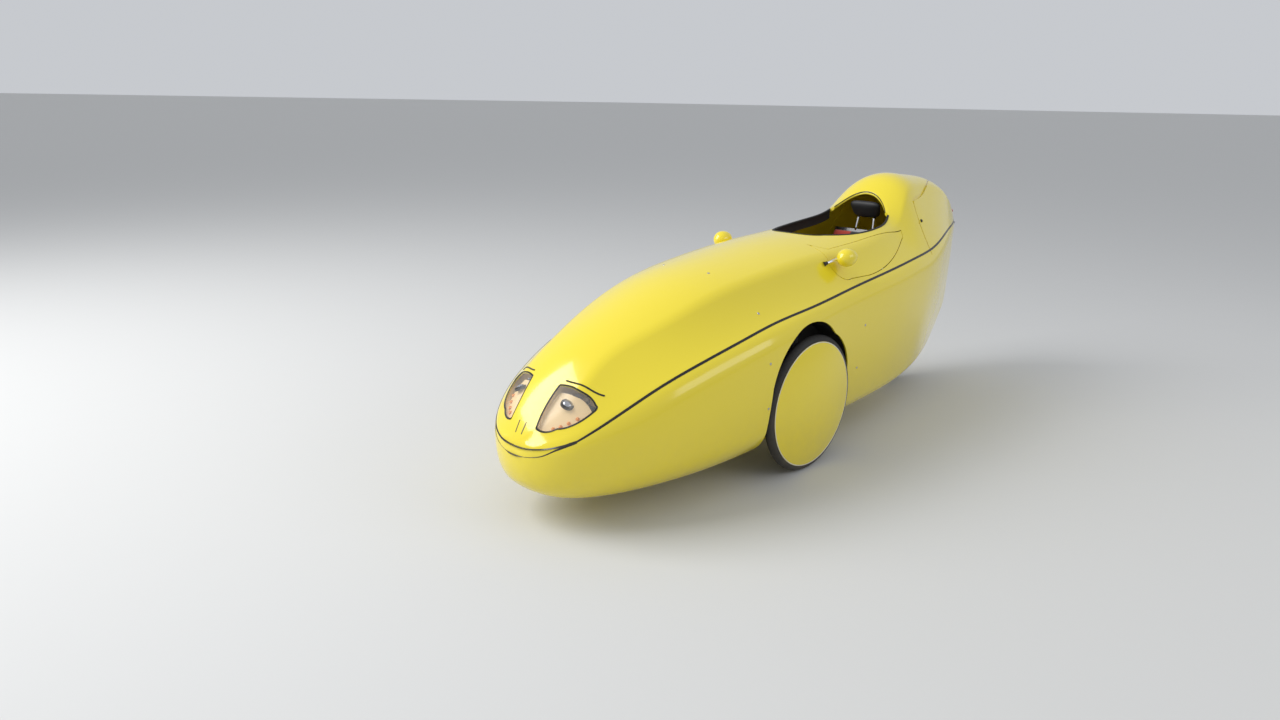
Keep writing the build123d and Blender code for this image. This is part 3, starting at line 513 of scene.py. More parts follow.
print("grid lines round the lower half:", len(round_lines(LOWER)), "and the upper:", len(round_lines(UPPER)))

# %% [markdown]
# ## From a sheet to a panel
# A moulded panel has an even wall. So the outer sheet and the same sheet moved inward by the wall are
# joined along their open edges. A Solidify modifier would be shorter, but it works from the mesh's own
# normals, and these are a little wrong where cells were cut.

# %% Walls from sheets
MERGE = 2e-6


def open_edges(faces):
    """Edges (a, b) that belong to one face only, in that face's direction."""
    pairs = np.concatenate([np.stack([f, np.roll(f, -1, axis=1)], 2).reshape(-1, 2) for f in faces])
    key = pairs[:, 0] * (pairs.max() + 1) + pairs[:, 1]
    twin = pairs[:, 1] * (pairs.max() + 1) + pairs[:, 0]
    return pairs[~np.isin(key, twin)]


def make_object(name, points, faces, sharp=40.0, turn_out=False):
    """A mesh object from points in millimetres before the axle shift, with doubles merged and creases kept.
    turn_out turns the faces of a closed piece outward."""
    mesh = bpy.data.meshes.new(name)
    moved = (np.asarray(points, float) + [AXLE_AHEAD, 0, 0]) * MM
    mesh.from_pydata(moved.tolist(), [], [face for group in faces for face in np.asarray(group).tolist()])
    work = bmesh.new()
    work.from_mesh(mesh)
    bmesh.ops.remove_doubles(work, verts=work.verts, dist=MERGE)
    bmesh.ops.dissolve_degenerate(work, edges=work.edges, dist=MERGE / 2)
    if turn_out:
        bmesh.ops.recalc_face_normals(work, faces=work.faces)
    work.to_mesh(mesh)
    work.free()
    mesh.shade_smooth()
    mesh.set_sharp_from_angle(angle=math.radians(sharp))
    thing = bpy.data.objects.new(name, mesh)
    bpy.context.scene.collection.objects.link(thing)
    return thing


def panel(name, part, keep, way=(-1, None), wall=WALL, lift=0.0):
    """A trimmed panel as a closed wall: outer skin, inner skin turned round, and a rim between them."""
    last = KNOTS[-1] + TAIL_RUN if way[1] is None else way[1]
    places, faces = trimmed(way_lines(way[0], last), round_lines(part), keep)
    outer = skin(places[:, 0], fold(places[:, 1]), lift)
    inner = skin(places[:, 0], fold(places[:, 1]), lift - wall)
    rim = open_edges(faces)
    shift = len(places)
    sides = np.stack([rim[:, 1], rim[:, 0], rim[:, 0] + shift, rim[:, 1] + shift], 1)
    whole = faces + [f[:, ::-1] + shift for f in faces] + [sides]
    thing = make_object(name, np.concatenate([outer, inner]), whole)
    print(name, "faces:", len(thing.data.polygons))
    return thing


# %% [markdown]
# ## Turned and carried shapes
# Tyres, lamps and screws are round, and seals, stripes and pipings keep one section all along. Curve
# objects with a bevel could make both, but not a groove in a tread. So a few functions lay rings of points
# round an axis or along a path, and join them to closed solids.

# %% Grids, rings and solids
def grid_faces(m, n, loop_m, loop_n):
    """Quads of a grid of m by n points, kept row after row. A looped way joins its last line to its first."""
    lines_m, lines_n = np.arange(m if loop_m else m - 1), np.arange(n if loop_n else n - 1)
    a, b = np.meshgrid(lines_m, lines_n, indexing="ij")
    c, d = (a + 1) % m, (b + 1) % n
    return np.stack([a * n + b, c * n + b, c * n + d, a * n + d], -1).reshape(-1, 4)


def ringed(name, rings, loop=False, sharp=40.0):
    """A closed solid from rings of points (rings, points, 3). Open ends are capped."""
    m, n = rings.shape[:2]
    faces = [grid_faces(m, n, loop, True)]
    if not loop:
        faces += [np.arange(n)[None], (np.arange(n) + (m - 1) * n)[None]]
    return make_object(name, rings.reshape(-1, 3), faces, sharp, turn_out=True)


def swept(name, path, across, up, profile, loop=False, sharp=40.0):
    """A profile of (across, up) points carried along a path: each ring is the path point plus the profile
    point's share of the two directions there."""
    rings = path[:, None] + profile[..., :1] * across[:, None] + profile[..., 1:] * up[:, None]
    return ringed(name, rings, loop, sharp)


def turned_rings(profile, centre, axis, steps):
    """Rings of a surface of revolution: (radius, way along the axis) turned about the axis at the centre."""
    axis = np.asarray(axis, float) / np.linalg.norm(axis)
    first = np.cross(axis, [0, 0, 1.0]) if abs(axis[2]) < 0.9 else np.array([1.0, 0, 0])
    first /= np.linalg.norm(first)
    angles = np.linspace(0, 2 * np.pi, steps, endpoint=False)
    spoke = np.cos(angles)[:, None] * first + np.sin(angles)[:, None] * np.cross(axis, first)
    profile = np.asarray(profile, float)
    return centre + profile[..., :1] * spoke[:, None] + profile[..., 1:] * axis


def turned(name, profile, centre, axis, steps=48, sharp=40.0):
    """A solid of revolution from a closed profile, or from one that starts and ends on the axis."""
    return ringed(name, turned_rings(profile, centre, axis, steps), True, sharp)


def round_bar(radius, steps=12):
    """Profile of a round bar, as (across, up) points."""
    angles = np.linspace(0, 2 * np.pi, steps, endpoint=False)
    return radius * np.stack([np.cos(angles), np.sin(angles)], 1)


def other_side(thing, name):
    """A mirrored copy for the right-hand side, with its faces turned outward again."""
    mesh = thing.data.copy()
    mesh.name = name
    mesh.transform(Matrix.Scale(-1, 4, Vector((0, 1, 0))))
    mesh.flip_normals()
    copy = bpy.data.objects.new(name, mesh)
    bpy.context.scene.collection.objects.link(copy)
    return copy


# %% [markdown]
# ## Placing things on the shell
# Pinstripes, seals and screws sit on the shell, so their places have to be found on it. A place is known by
# two or three of its coordinates, such as x and y for the edge of the cockpit. The nearest point of a
# coarse grid on the surface is a first guess, and a few Newton steps then land on it. Shrinkwrap could do
# this too, but it would pull the whole thickness of a seal onto the surface instead of only its middle
# line.

# %% Places on the shell
SEARCH_U = np.concatenate([NOSE_LINES, np.linspace(0, KNOTS[-1], 300)])
SEARCH_V = np.linspace(0, ROUND_END, 113)
SEARCH = skin(SEARCH_U[:, None], SEARCH_V[None, :])
STEP_U, STEP_V = 0.5, 0.002
MOST_U, MOST_V = 20, 0.2
NEWTON_STEPS = 6
print("places that the search starts from:", SEARCH[..., 0].size)


def shell_places(points, axes=(0, 1, 2), rounds=(0.0, ROUND_END), ways=(-NOSE_RUN, 1e9)):
    """(u, v) at which the shell has the points' coordinates on the given axes. The left half is searched;
    Newton's step solves the two slopes of the surface for the difference that is left."""
    axes = list(axes)
    goal = np.array(points, float).reshape(-1, 3)
    goal[:, 1] = np.abs(goal[:, 1])
    goal = goal[:, axes]
    rows = np.flatnonzero((SEARCH_U >= ways[0]) & (SEARCH_U <= ways[1]))
    columns = np.flatnonzero((SEARCH_V >= rounds[0]) & (SEARCH_V <= rounds[1]))
    grid = SEARCH[np.ix_(rows, columns)][..., axes].reshape(-1, len(axes))
    best = ((grid**2).sum(1)[None, :] - 2 * goal @ grid.T).argmin(1)
    row, column = np.unravel_index(best, (len(rows), len(columns)))
    u, v = SEARCH_U[rows[row]], SEARCH_V[columns[column]]
    for _ in range(NEWTON_STEPS):
        left = goal - skin(u, v)[:, axes]
        slope_u = (skin(u + STEP_U, v) - skin(u - STEP_U, v)) / (2 * STEP_U)
        slope_v = (skin(u, v + STEP_V) - skin(u, v - STEP_V)) / (2 * STEP_V)
        slope = np.stack([slope_u, slope_v], 2)[:, axes]
        turned_slope = np.swapaxes(slope, 1, 2)
        square = turned_slope @ slope + 1e-7 * np.eye(2)
        step = np.linalg.solve(square, turned_slope @ left[..., None])[..., 0]
        u = np.clip(u + np.clip(step[:, 0], -MOST_U, MOST_U), -0.97 * NOSE_RUN, KNOTS[-1])
        v = np.clip(v + np.clip(step[:, 1], -MOST_V, MOST_V), rounds[0], rounds[1])
    return u, v


def shell_frame(points, **search):
    """Points on the shell and outward directions there, on the side of each point's own y."""
    u, v = shell_places(points, **search)
    base = skin(u, v)
    out = skin(u, v, 1.0) - base
    out /= np.linalg.norm(out, axis=1, keepdims=True)
    side = np.where(np.asarray(points, float).reshape(-1, 3)[:, 1] < 0, -1.0, 1.0)
    base[:, 1] *= side
    out[:, 1] *= side
    return base, out


def spaced(points, spacing, loop=False):
    """Points at even spacing along a line, straight between the given ones."""
    points = np.asarray(points, float)
    if loop:
        points = np.concatenate([points, points[:1]])
    way = np.concatenate([[0], np.cumsum(np.linalg.norm(np.diff(points, axis=0), axis=1))])
    at = np.linspace(0, way[-1], max(2, int(way[-1] / spacing)) + 1)
    line = np.stack([np.interp(at, way, points[:, k]) for k in range(points.shape[1])], 1)
    return line[:-1] if loop else line


def smooth_line(points, spacing):
    """Points at even spacing along the cubic spline through the given ones."""
    points = np.asarray(points, float)
    way = np.concatenate([[0], np.cumsum(np.linalg.norm(np.diff(points, axis=0), axis=1))])
    at = np.linspace(0, way[-1], max(8, int(way[-1] / spacing)) + 1)
    return spline_weights(way, at) @ points


def along_line(points, loop=False):
    """Unit directions along a line of points."""
    steps = np.roll(points, -1, 0) - np.roll(points, 1, 0) if loop else np.gradient(points, axis=0)
    return steps / np.linalg.norm(steps, axis=1, keepdims=True)


# %% [markdown]
# ## Finishes
# Every surface of a used vehicle has small changes in its gloss, and road dust on its lower parts. Painted
# textures could show both, but they would need a UV map for each part. Here two node groups work from the
# place in space: one gives an uneven gloss and a fine height, the other mixes in dust that thins out with
# height. Each material places them with its own values, so that a change to one group reaches every part.

# %% Node groups
def new_group(name, inputs, outputs):
    """A shader node group with named sockets, and its tree with the group's own input and output nodes."""
    tree = bpy.data.node_groups.new(name, "ShaderNodeTree")
    for way, sockets in (("INPUT", inputs), ("OUTPUT", outputs)):
        for label, kind in sockets.items():
            tree.interface.new_socket(label, in_out=way, socket_type="NodeSocket" + kind)
    return tree, tree.nodes.new("NodeGroupInput"), tree.nodes.new("NodeGroupOutput")


def feed(tree, socket, value):
    """Give an input a plain number, or join it to another node's output."""
    if isinstance(value, (int, float)):
        socket.default_value = value
    else:
        tree.links.new(value, socket)


def math_node(tree, operation, a, b):
    """A math node; a and b are outputs or plain numbers."""
    node = tree.nodes.new("ShaderNodeMath")
    node.operation = operation
    feed(tree, node.inputs[0], a)
    feed(tree, node.inputs[1], b)
    return node.outputs[0]


def noise_node(tree, vector, scale, detail):
    """A noise texture at a vector; scale is an output or a plain number."""
    node = tree.nodes.new("ShaderNodeTexNoise")
    node.inputs["Detail"].default_value = detail
    feed(tree, node.inputs["Vector"], vector)
    feed(tree, node.inputs["Scale"], scale)
    return node.outputs["Fac"]


def mix_node(tree, share):
    """A colour mix by a share; its inputs A and B are fed by the caller."""
    node = tree.nodes.new("ShaderNodeMix")
    node.data_type = "RGBA"
    tree.links.new(share, node.inputs["Factor"])
    return node


PATCH_SCALE, SPECK_SCALE = 7, 30


def make_gloss_group():
    """Soft patches spread between a low and a high roughness, and a fine noise as height."""
    tree, start, end = new_group(
        "uneven gloss", {"Vector": "Vector", "Scale": "Float", "Low": "Float", "High": "Float"},
        {"Roughness": "Float", "Height": "Float"})
    spread = tree.nodes.new("ShaderNodeMapRange")
    feed(tree, spread.inputs["Value"], noise_node(tree, start.outputs["Vector"], PATCH_SCALE, 5))
    feed(tree, spread.inputs["From Min"], 0.3)
    feed(tree, spread.inputs["From Max"], 0.7)
    feed(tree, spread.inputs["To Min"], start.outputs["Low"])
    feed(tree, spread.inputs["To Max"], start.outputs["High"])
    fine = noise_node(tree, start.outputs["Vector"], start.outputs["Scale"], 2)
    feed(tree, end.inputs["Roughness"], spread.outputs["Result"])
    feed(tree, end.inputs["Height"], fine)
    return tree


def make_dust_group():
    """The clean colour with dust mixed in: one less the height over the reach, times specks and amount."""
    tree, start, end = new_group(
        "road dust",
        {"Vector": "Vector", "Clean": "Color", "Dust": "Color", "Amount": "Float", "Reach": "Float"},
        {"Color": "Color", "Mask": "Float"})
    split = tree.nodes.new("ShaderNodeSeparateXYZ")
    feed(tree, split.inputs[0], start.outputs["Vector"])
    height = math_node(tree, "DIVIDE", split.outputs["Z"], start.outputs["Reach"])
    low_down = math_node(tree, "MAXIMUM", math_node(tree, "SUBTRACT", 1.0, height), 0.0)
    specks = noise_node(tree, start.outputs["Vector"], SPECK_SCALE, 8)
    share = math_node(tree, "MULTIPLY", low_down, specks)
    share = math_node(tree, "MULTIPLY", share, start.outputs["Amount"])
    share = math_node(tree, "MINIMUM", share, 1.0)
    mix = mix_node(tree, share)
    feed(tree, mix.inputs["A"], start.outputs["Clean"])
    feed(tree, mix.inputs["B"], start.outputs["Dust"])
    feed(tree, end.inputs["Color"], mix.outputs["Result"])
    feed(tree, end.inputs["Mask"], share)
    return tree


gloss_group, dust_group = make_gloss_group(), make_dust_group()
print("node groups:", [group.name for group in bpy.data.node_groups])

# %% Materials
DUST_COLOUR = (0.30, 0.25, 0.17, 1)


def finish(name, colour, gloss, grain=60.0, height=0.0002, dust=0.3, reach=0.5, **sockets):
    """A material: Principled values by socket name, gloss between two roughness values, a fine bump of the
    given height in metres, and dust up to the given reach above the ground."""
    material = bpy.data.materials.new(name)
    material.use_nodes = True
    tree = material.node_tree
    shader = tree.nodes["Principled BSDF"]
    for socket, value in sockets.items():
        shader.inputs[socket.replace("_", " ")].default_value = value
    place = tree.nodes.new("ShaderNodeTexCoord").outputs["Object"]
    gloss_node, dust_node = tree.nodes.new("ShaderNodeGroup"), tree.nodes.new("ShaderNodeGroup")
    gloss_node.node_tree, dust_node.node_tree = gloss_group, dust_group
    for node in (gloss_node, dust_node):
        tree.links.new(place, node.inputs["Vector"])
    for socket, value in zip(("Scale", "Low", "High"), (grain, *gloss)):
        gloss_node.inputs[socket].default_value = value
    dust_values = ((*colour, 1), DUST_COLOUR, dust, reach)
    for socket, value in zip(("Clean", "Dust", "Amount", "Reach"), dust_values):
        dust_node.inputs[socket].default_value = value
    bump = tree.nodes.new("ShaderNodeBump")
    bump.inputs["Distance"].default_value = height
    bump.inputs["Strength"].default_value = 1.0
    tree.links.new(gloss_node.outputs["Height"], bump.inputs["Height"])
    tree.links.new(bump.outputs["Normal"], shader.inputs["Normal"])
    tree.links.new(gloss_node.outputs["Roughness"], shader.inputs["Roughness"])
    tree.links.new(dust_node.outputs["Color"], shader.inputs["Base Color"])
    return material


yellow = finish("yellow gelcoat", (0.84, 0.68, 0.028), (0.12, 0.24), 25, 0.00012, 0.25, 0.35,
                Coat_Weight=0.5, Coat_Roughness=0.05)
stripe_black = finish("black pinstripe", (0.008, 0.008, 0.01), (0.25, 0.4), 120, 0.00005)
black = finish("black plastic", (0.018, 0.018, 0.019), (0.45, 0.65), 300, 0.0002, 0.6)
rubber = finish("black rubber", (0.012, 0.012, 0.012), (0.5, 0.7), 500, 0.0002, 0.2)
tyre_rubber = finish("tyre rubber", (0.022, 0.021, 0.02), (0.6, 0.85), 700, 0.0003, 0.25, 0.5)
rim_metal = finish("rim aluminium", (0.55, 0.55, 0.56), (0.3, 0.5), 200, 0.0001, 0.6, Metallic=1.0)
steel = finish("brushed steel", (0.5, 0.5, 0.52), (0.25, 0.45), 400, 0.0001, 0.4, Metallic=1.0)
chrome = finish("polished tube", (0.8, 0.8, 0.82), (0.06, 0.16), 100, 0.00003, 0.0, Metallic=1.0)
frame_metal = finish("painted frame", (0.06, 0.065, 0.07), (0.35, 0.55), 300, 0.0002, 0.5)
carbon = finish("seat shell", (0.02, 0.02, 0.022), (0.2, 0.35), 900, 0.0001, 0.1, Coat_Weight=0.4)
vinyl = finish("headrest vinyl", (0.014, 0.014, 0.015), (0.4, 0.55), 450, 0.0004, 0.0)
pane = finish("lamp window", (0.93, 0.93, 0.9), (0.03, 0.08), 20, 0.00003, 0.0, Alpha=0.07, IOR=1.45)
tray_cream = finish("lamp tray", (0.86, 0.63, 0.32), (0.3, 0.45), 80, 0.0001, 0.0)
lamp_grey = finish("lamp reflector", (0.42, 0.43, 0.47), (0.1, 0.25), 60, 0.0001, 0.0, Metallic=0.8)
amber = finish("amber lens", (0.75, 0.25, 0.02), (0.08, 0.2), 90, 0.0001, 0.0)
red_lens = finish("tail lens", (0.45, 0.015, 0.012), (0.08, 0.2), 60, 0.0001, 0.0, Coat_Weight=0.5)
mirror_glass = finish("mirror glass", (0.9, 0.9, 0.9), (0.02, 0.05), 20, 0.00001, 0.0, Metallic=1.0)
white_trim = finish("pale trim", (0.75, 0.72, 0.6), (0.3, 0.45), 90, 0.0001, 0.3)
print("materials:", len(bpy.data.materials))

# %% [markdown]
# ## Cloth of the seat
# The seat cover is a woven cloth with a dark middle and coloured shoulders. A photo of cloth would have to
# be tiled. Two crossed waves give the threads instead, and the colour areas come from the place on the
# seat.

# %% Seat cloth
THREADS = 160
RED_SHOULDERS = (0.57, 0.90, (0.42, 0.035, 0.015, 1))
TEAL_BAND = (0.50, 0.57, (0.01, 0.09, 0.10, 1))
DARK_MIDDLE_HALF_W = 0.04


def make_weave_group():
    """Height of a weave: the higher of two waves that cross."""
    tree, start, end = new_group("weave", {"Vector": "Vector", "Threads": "Float"}, {"Height": "Float"})
    threads = []
    for direction in ("Y", "Z"):
        wave = tree.nodes.new("ShaderNodeTexWave")
        wave.bands_direction = direction
        wave.inputs["Distortion"].default_value = 0.4
        feed(tree, wave.inputs["Vector"], start.outputs["Vector"])
        feed(tree, wave.inputs["Scale"], start.outputs["Threads"])
        threads.append(wave.outputs["Fac"])
    feed(tree, end.inputs["Height"], math_node(tree, "MAXIMUM", *threads))
    return tree


def coloured_area(tree, split, before, low, high, colour):
    """Mixes a colour in between two heights, outside the dark middle."""
    above = math_node(tree, "GREATER_THAN", split.outputs["Z"], low)
    below = math_node(tree, "LESS_THAN", split.outputs["Z"], high)
    aside = math_node(tree, "ABSOLUTE", split.outputs["Y"], 0.0)
    off = math_node(tree, "GREATER_THAN", aside, DARK_MIDDLE_HALF_W)
    mix = mix_node(tree, math_node(tree, "MULTIPLY", math_node(tree, "MULTIPLY", above, below), off))
    tree.links.new(before, mix.inputs["A"])
    mix.inputs["B"].default_value = colour
    return mix.outputs["Result"]


def make_seat_cloth():
    """The seat's cloth: a dark finish with the weave as its bump and two coloured areas."""
    material = finish("seat cloth", (0.03, 0.03, 0.035), (0.75, 0.95), 200, 0.0003, 0.0, Sheen_Weight=0.3)
    tree = material.node_tree
    place = next(node for node in tree.nodes if node.type == "TEX_COORD").outputs["Object"]
    bump = next(node for node in tree.nodes if node.type == "BUMP")
    weave = tree.nodes.new("ShaderNodeGroup")
    weave.node_tree = make_weave_group()
    weave.inputs["Threads"].default_value = THREADS
    tree.links.new(place, weave.inputs["Vector"])
    tree.links.new(weave.outputs["Height"], bump.inputs["Height"])
    split = tree.nodes.new("ShaderNodeSeparateXYZ")
    tree.links.new(place, split.inputs[0])
    base_colour = tree.nodes["Principled BSDF"].inputs["Base Color"]
    colour = base_colour.links[0].from_socket
    for low, high, area_colour in (RED_SHOULDERS, TEAL_BAND):
        colour = coloured_area(tree, split, colour, low, high, area_colour)
    tree.links.new(colour, base_colour)
    return material


cloth = make_seat_cloth()
print("nodes in the seat cloth:", len(cloth.node_tree.nodes))

# %% [markdown]
# ## The shell's panels
# On the real vehicle the lower shell carries everything. The deck, a ring round the cockpit, a side panel
# and the tail hatch are laid into it with fine gaps. Each is trimmed from the same surface, so reflections
# run on across the gaps. One trimmed sheet with painted seams would be quicker to make, but the hatch could
# not open.

# %% Putting pieces on their bodies
def dress(thing, body, nodes, material):
    """Put a finished piece on its body, in place of its frame pieces, with one material."""
    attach(thing, body)
    if nodes:
        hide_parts(*nodes)
    thing.data.materials.clear()
    thing.data.materials.append(material)
    print(thing.name, "rides on", body)
    return thing


def dress_pair(left, nodes, material, body="shell"):
    """Dress a left-hand piece and its mirrored copy, whose names have right in place of left."""
    right = other_side(left, left.name.replace("left", "right"))
    right_nodes = [node.replace("left", "right") for node in nodes]
    dress(right, body.replace("left", "right"), right_nodes, material)
    dress(left, body, nodes, material)


# %% Panels of the shell
def way_at(x):
    """The way along the body at which the crown stands at x."""
    ways = np.linspace(0, KNOTS[-1], 600)
    return float(np.interp(-x, -skin(ways, ROUND_END)[:, 0], ways))


def keep_rebate(p):
    """A narrow band under the gaps round the tail hatch and the cockpit panel's tongue."""
    tongue = signed(plan(p), surround_line(0)) + HATCH_GAP / 2
    front = p[:, 0] - HATCH_FRONT_X + HATCH_GAP / 2
    return np.maximum(np.minimum(REBATE_HALF_W - np.abs(tongue), REBATE_HALF_W - front),
                      np.minimum(REBATE_HALF_W - np.abs(front), -tongue))


REBATE_HALF_W, REBATE_WALL, REBATE_CLEARANCE = 8.5, 2.0, 0.4
REBATE_X, COCKPIT_X = (-920, -1400), (-130, -1400)
# name, half, what it keeps, x of its front and rear (None for the whole shell's), body, node
PANELS = [
    ("deck_panel", UPPER, keep_deck, (None, -980), "shell", "upper_shell"),
    ("hull_panel", LOWER, keep_lower, (None, None), "shell", "lower_shell"),
    ("cockpit_ring", UPPER, keep_cockpit, COCKPIT_X, "shell", "cockpit_panel"),
    ("side_cover", UPPER, keep_side, (-180, -840), "shell", "side_panel"),
    ("tail_lid", UPPER, keep_hatch, (-930, None), "hatch", "tail_hatch"),
]
for name, part, keep, (fore, aft), body, node in PANELS:
    ways = (-NOSE_RUN if fore is None else way_at(fore), None if aft is None else way_at(aft))
    dress(panel(name, part, keep, ways), body, [node], yellow)
rebate_ways = tuple(way_at(x) for x in REBATE_X)
rebate = panel("hatch_rebate", UPPER, keep_rebate, rebate_ways, REBATE_WALL, -WALL - REBATE_CLEARANCE)
dress(rebate, "shell", [], yellow)

# %% [markdown]
# ## Pieces that keep their solids
# The frame's solids already have the right shape for the covers, rims, links and tubes. New meshes for them
# would look the same, so each only gets the material of the real piece: paint, aluminium, steel, rubber or
# plastic.

# %% Finishes for the pieces that keep their solids
def coat(material, *names):
    """Give CAD pieces a material."""
    print(material.name, "on", ", ".join(names))
    for name in names:
        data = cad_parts[name].data
        data.materials.clear()
        data.materials.append(material)


coat(yellow, "wheel_cover_left", "wheel_cover_right")
coat(black, "wheel_well_left", "wheel_well_right", "rear_wheel_box", "pedal_left", "pedal_right")
coat(rubber, "grip_left", "grip_right")
coat(rim_metal, "front_rim_left", "front_rim_right", "rear_rim")
coat(steel, "knuckle_left", "knuckle_right", "tie_rod", "cranks", "tiller")
coat(frame_metal, "axle_beam", "strut_left", "strut_right", "swing_arm", "crank_post")
coat(carbon, "seat_shell")
coat(chrome, "headrest_tubes")
coat(tray_cream, "lamp_tray")
coat(lamp_grey, "headlamp_left", "headlamp_right")
coat(red_lens, "tail_lamp")
coat(mirror_glass, "mirror_glass_left", "mirror_glass_right")

# %% [markdown]
# ## Lamp windows
# Each window is a clear sheet in the nose, held by a black seal, with the lamp and a few small amber lights
# behind it. The sheet is trimmed from the shell's own surface. Its seal is a low profile carried along the
# same outline, which keeps its width even where the surface turns away, as a painted line would not.

# %% Windows and their seals
SEAL_PROFILE = np.array([(-3.5, -2), (-3.5, 0.5), (-1.5, 1.1), (1.5, 1.1), (3.5, 0.5), (3.5, -2)])


def keep_pane(p):
    """The left lamp window."""
    return np.minimum(in_window(p), p[:, 1])


def raised_line(name, line, profile, loop=False, **search):
    """A low profile carried over the shell along a line of points, square to the surface."""
    base, out = shell_frame(line, **search)
    return swept(name, base, np.cross(out, along_line(base, loop)), out, profile, loop)


NOSE_WAYS = (-NOSE_RUN, way_at(WINDOW_REAR_X))
window_edge = spaced(window_line(), 4, loop=True)
window_edge = np.column_stack([np.zeros(len(window_edge)), window_edge])
left_pane = panel("window_pane_left", UPPER, keep_pane, NOSE_WAYS)
left_seal = raised_line("window_seal_left", window_edge, SEAL_PROFILE, True,
                        axes=(1, 2), rounds=UPPER, ways=NOSE_WAYS)
dress_pair(left_pane, ["lamp_window_left"], pane)
dress_pair(left_seal, [], rubber)

# %% Lamps behind the windows
BOWL_DEPTH, BOWL_WALL, BOWL_INSET, LENS_DEPTH = 24.0, 1.5, 2.5, 20.0
LENS_PLACE = [(922, 116, 416)]
LENS_GLASS = [(0, 10), (7, 9), (12, 6.5), (15.5, 3), (16.5, 0), (16.5, -3), (0, -3)]
LENS_BEZEL = [(15.5, -3), (15.5, 2.5), (17.5, 4), (20, 2), (20.5, -6), (15.5, -6)]
SMALL_LIGHTS = [(0, 112, 351), (0, 130, 358), (0, 147, 368), (0, 163, 380)]
SMALL_LIGHT = [(0, 4), (3, 3.2), (5, 1), (5.4, -4), (0, -4)]
SMALL_LIGHT_DEPTH = BOWL_DEPTH - 3


def keep_bowl(p):
    """The left window's bowl, a little inside its outline."""
    return keep_pane(p) - BOWL_INSET


def grouped(name, profile, base, out, steps=16):
    """The same turned piece at several places, as one mesh."""
    rings = np.stack([turned_rings(profile, b, o, steps) for b, o in zip(base, out)])
    count, _, ring = rings.shape[:3]
    start = (np.arange(count) * steps * ring)[:, None, None]
    faces = (grid_faces(steps, ring, True, True)[None] + start).reshape(-1, 4)
    return make_object(name, rings.reshape(-1, 3), [faces], turn_out=True)


base, out = shell_frame(LENS_PLACE, rounds=UPPER, ways=NOSE_WAYS)
base = base - LENS_DEPTH * out
bowl = panel("lamp_bowl_left", UPPER, keep_bowl, NOSE_WAYS, BOWL_WALL, -BOWL_DEPTH)
glass = turned("lamp_glass_left", LENS_GLASS, base[0], out[0])
bezel = turned("lamp_bezel_left", LENS_BEZEL, base[0], out[0])
base, out = shell_frame(SMALL_LIGHTS, axes=(1, 2), rounds=UPPER, ways=NOSE_WAYS)
small = grouped("small_lights_left", SMALL_LIGHT, base - SMALL_LIGHT_DEPTH * out, out)
dress_pair(bowl, [], tray_cream)
dress_pair(glass, [], lamp_grey)
dress_pair(bezel, [], black)
dress_pair(small, [], amber)

# %% [markdown]
# ## Pinstripes
# A dark pinstripe runs along the join of the two halves, and finer ones cross the nose. Lines in the
# paint's shader would blur at their edges. Here each one is a thin, slightly domed band that follows the
# surface, like the tape that real pinstripes are cut from.

# %% Pinstripes
STRIPE_FOOT, STRIPE_EDGE, STRIPE_TOP = 1.5, 0.5, 0.9


def stripe_profile(width):
    """A band of the given width, slightly domed, with its foot below the surface."""
    half = width / 2
    return np.array([(-half, -STRIPE_FOOT), (-half, STRIPE_EDGE), (0, STRIPE_TOP), (half, STRIPE_EDGE),
                     (half, -STRIPE_FOOT)])


SIDE_STRIPE = [
    (957, 183, 312), (861, 234, 372), (716, 274, 441), (552, 304, 495), (342, 320, 543), (230, 321, 562),
    (16, 324, 586), (-235, 315, 613), (-524, 303, 641), (-822, 274, 664), (-985, 248, 677), (-1320, 150, 716),
    (-1500, 93, 726), (-1620, 30, 728)]
BROW = [(895, 72, 458), (894, 95, 460), (882, 124, 454), (869, 153, 441), (848, 184, 427)]
NOSTRIL = [(1007, 15, 341), (1011, 14.5, 331), (1014, 14, 321), (1016, 13.5, 312), (1018, 13, 304)]
UPPER_SMILE = [
    (957, 183, 312), (975, 166, 304), (987, 150, 298), (1006, 123, 289), (1022, 89, 281), (1034, 45, 275),
    (1037, 0, 273), (1034, -45, 275), (1022, -89, 281), (1006, -123, 289), (987, -150, 298), (957, -183, 312)]
LOWER_SMILE = [
    (957, 183, 312), (971, 170, 303), (997, 142, 286), (1019, 108, 264), (1034, 55, 250), (1038, 0, 246),
    (1034, -55, 250), (1019, -108, 264), (997, -142, 286), (957, -183, 312)]
# name, line, width
PAIRED_LINES = [("side_stripe", SIDE_STRIPE, 9.0), ("brow_line", BROW, 8.0), ("nose_stroke", NOSTRIL, 7.0)]
MIDDLE_LINES = [("upper_nose_line", UPPER_SMILE, 12.0), ("lower_nose_line", LOWER_SMILE, 10.0)]
for name, line, width in PAIRED_LINES:
    left = raised_line(name + "_left", smooth_line(line, 6), stripe_profile(width))
    dress_pair(left, [], stripe_black)
for name, line, width in MIDDLE_LINES:
    stripe = raised_line(name, smooth_line(line, 5), stripe_profile(width))
    dress(stripe, "shell", [], stripe_black)

# %% [markdown]
# ## The cockpit's edge
# In front and at the sides the opening has a soft rubber edge with a flap that hangs inside. Behind, the
# panel rises into a hood with a thick rounded lip. The edge is one rubber profile carried along the
# outline, and the lip is a ring of surfaces between two outlines, so that its top runs on into the panel
# without a step.

# %% Rubber edge
HOOD_START_X, HOOD_LIP_W, HOOD_LIP_DEPTH = -790.0, 20.0, 15.0
BEAD_R, BEAD_DROP, HOOD_TRIM_R = 4.6, 2.2, 2.2
UP = np.array([0, 0, 1.0])


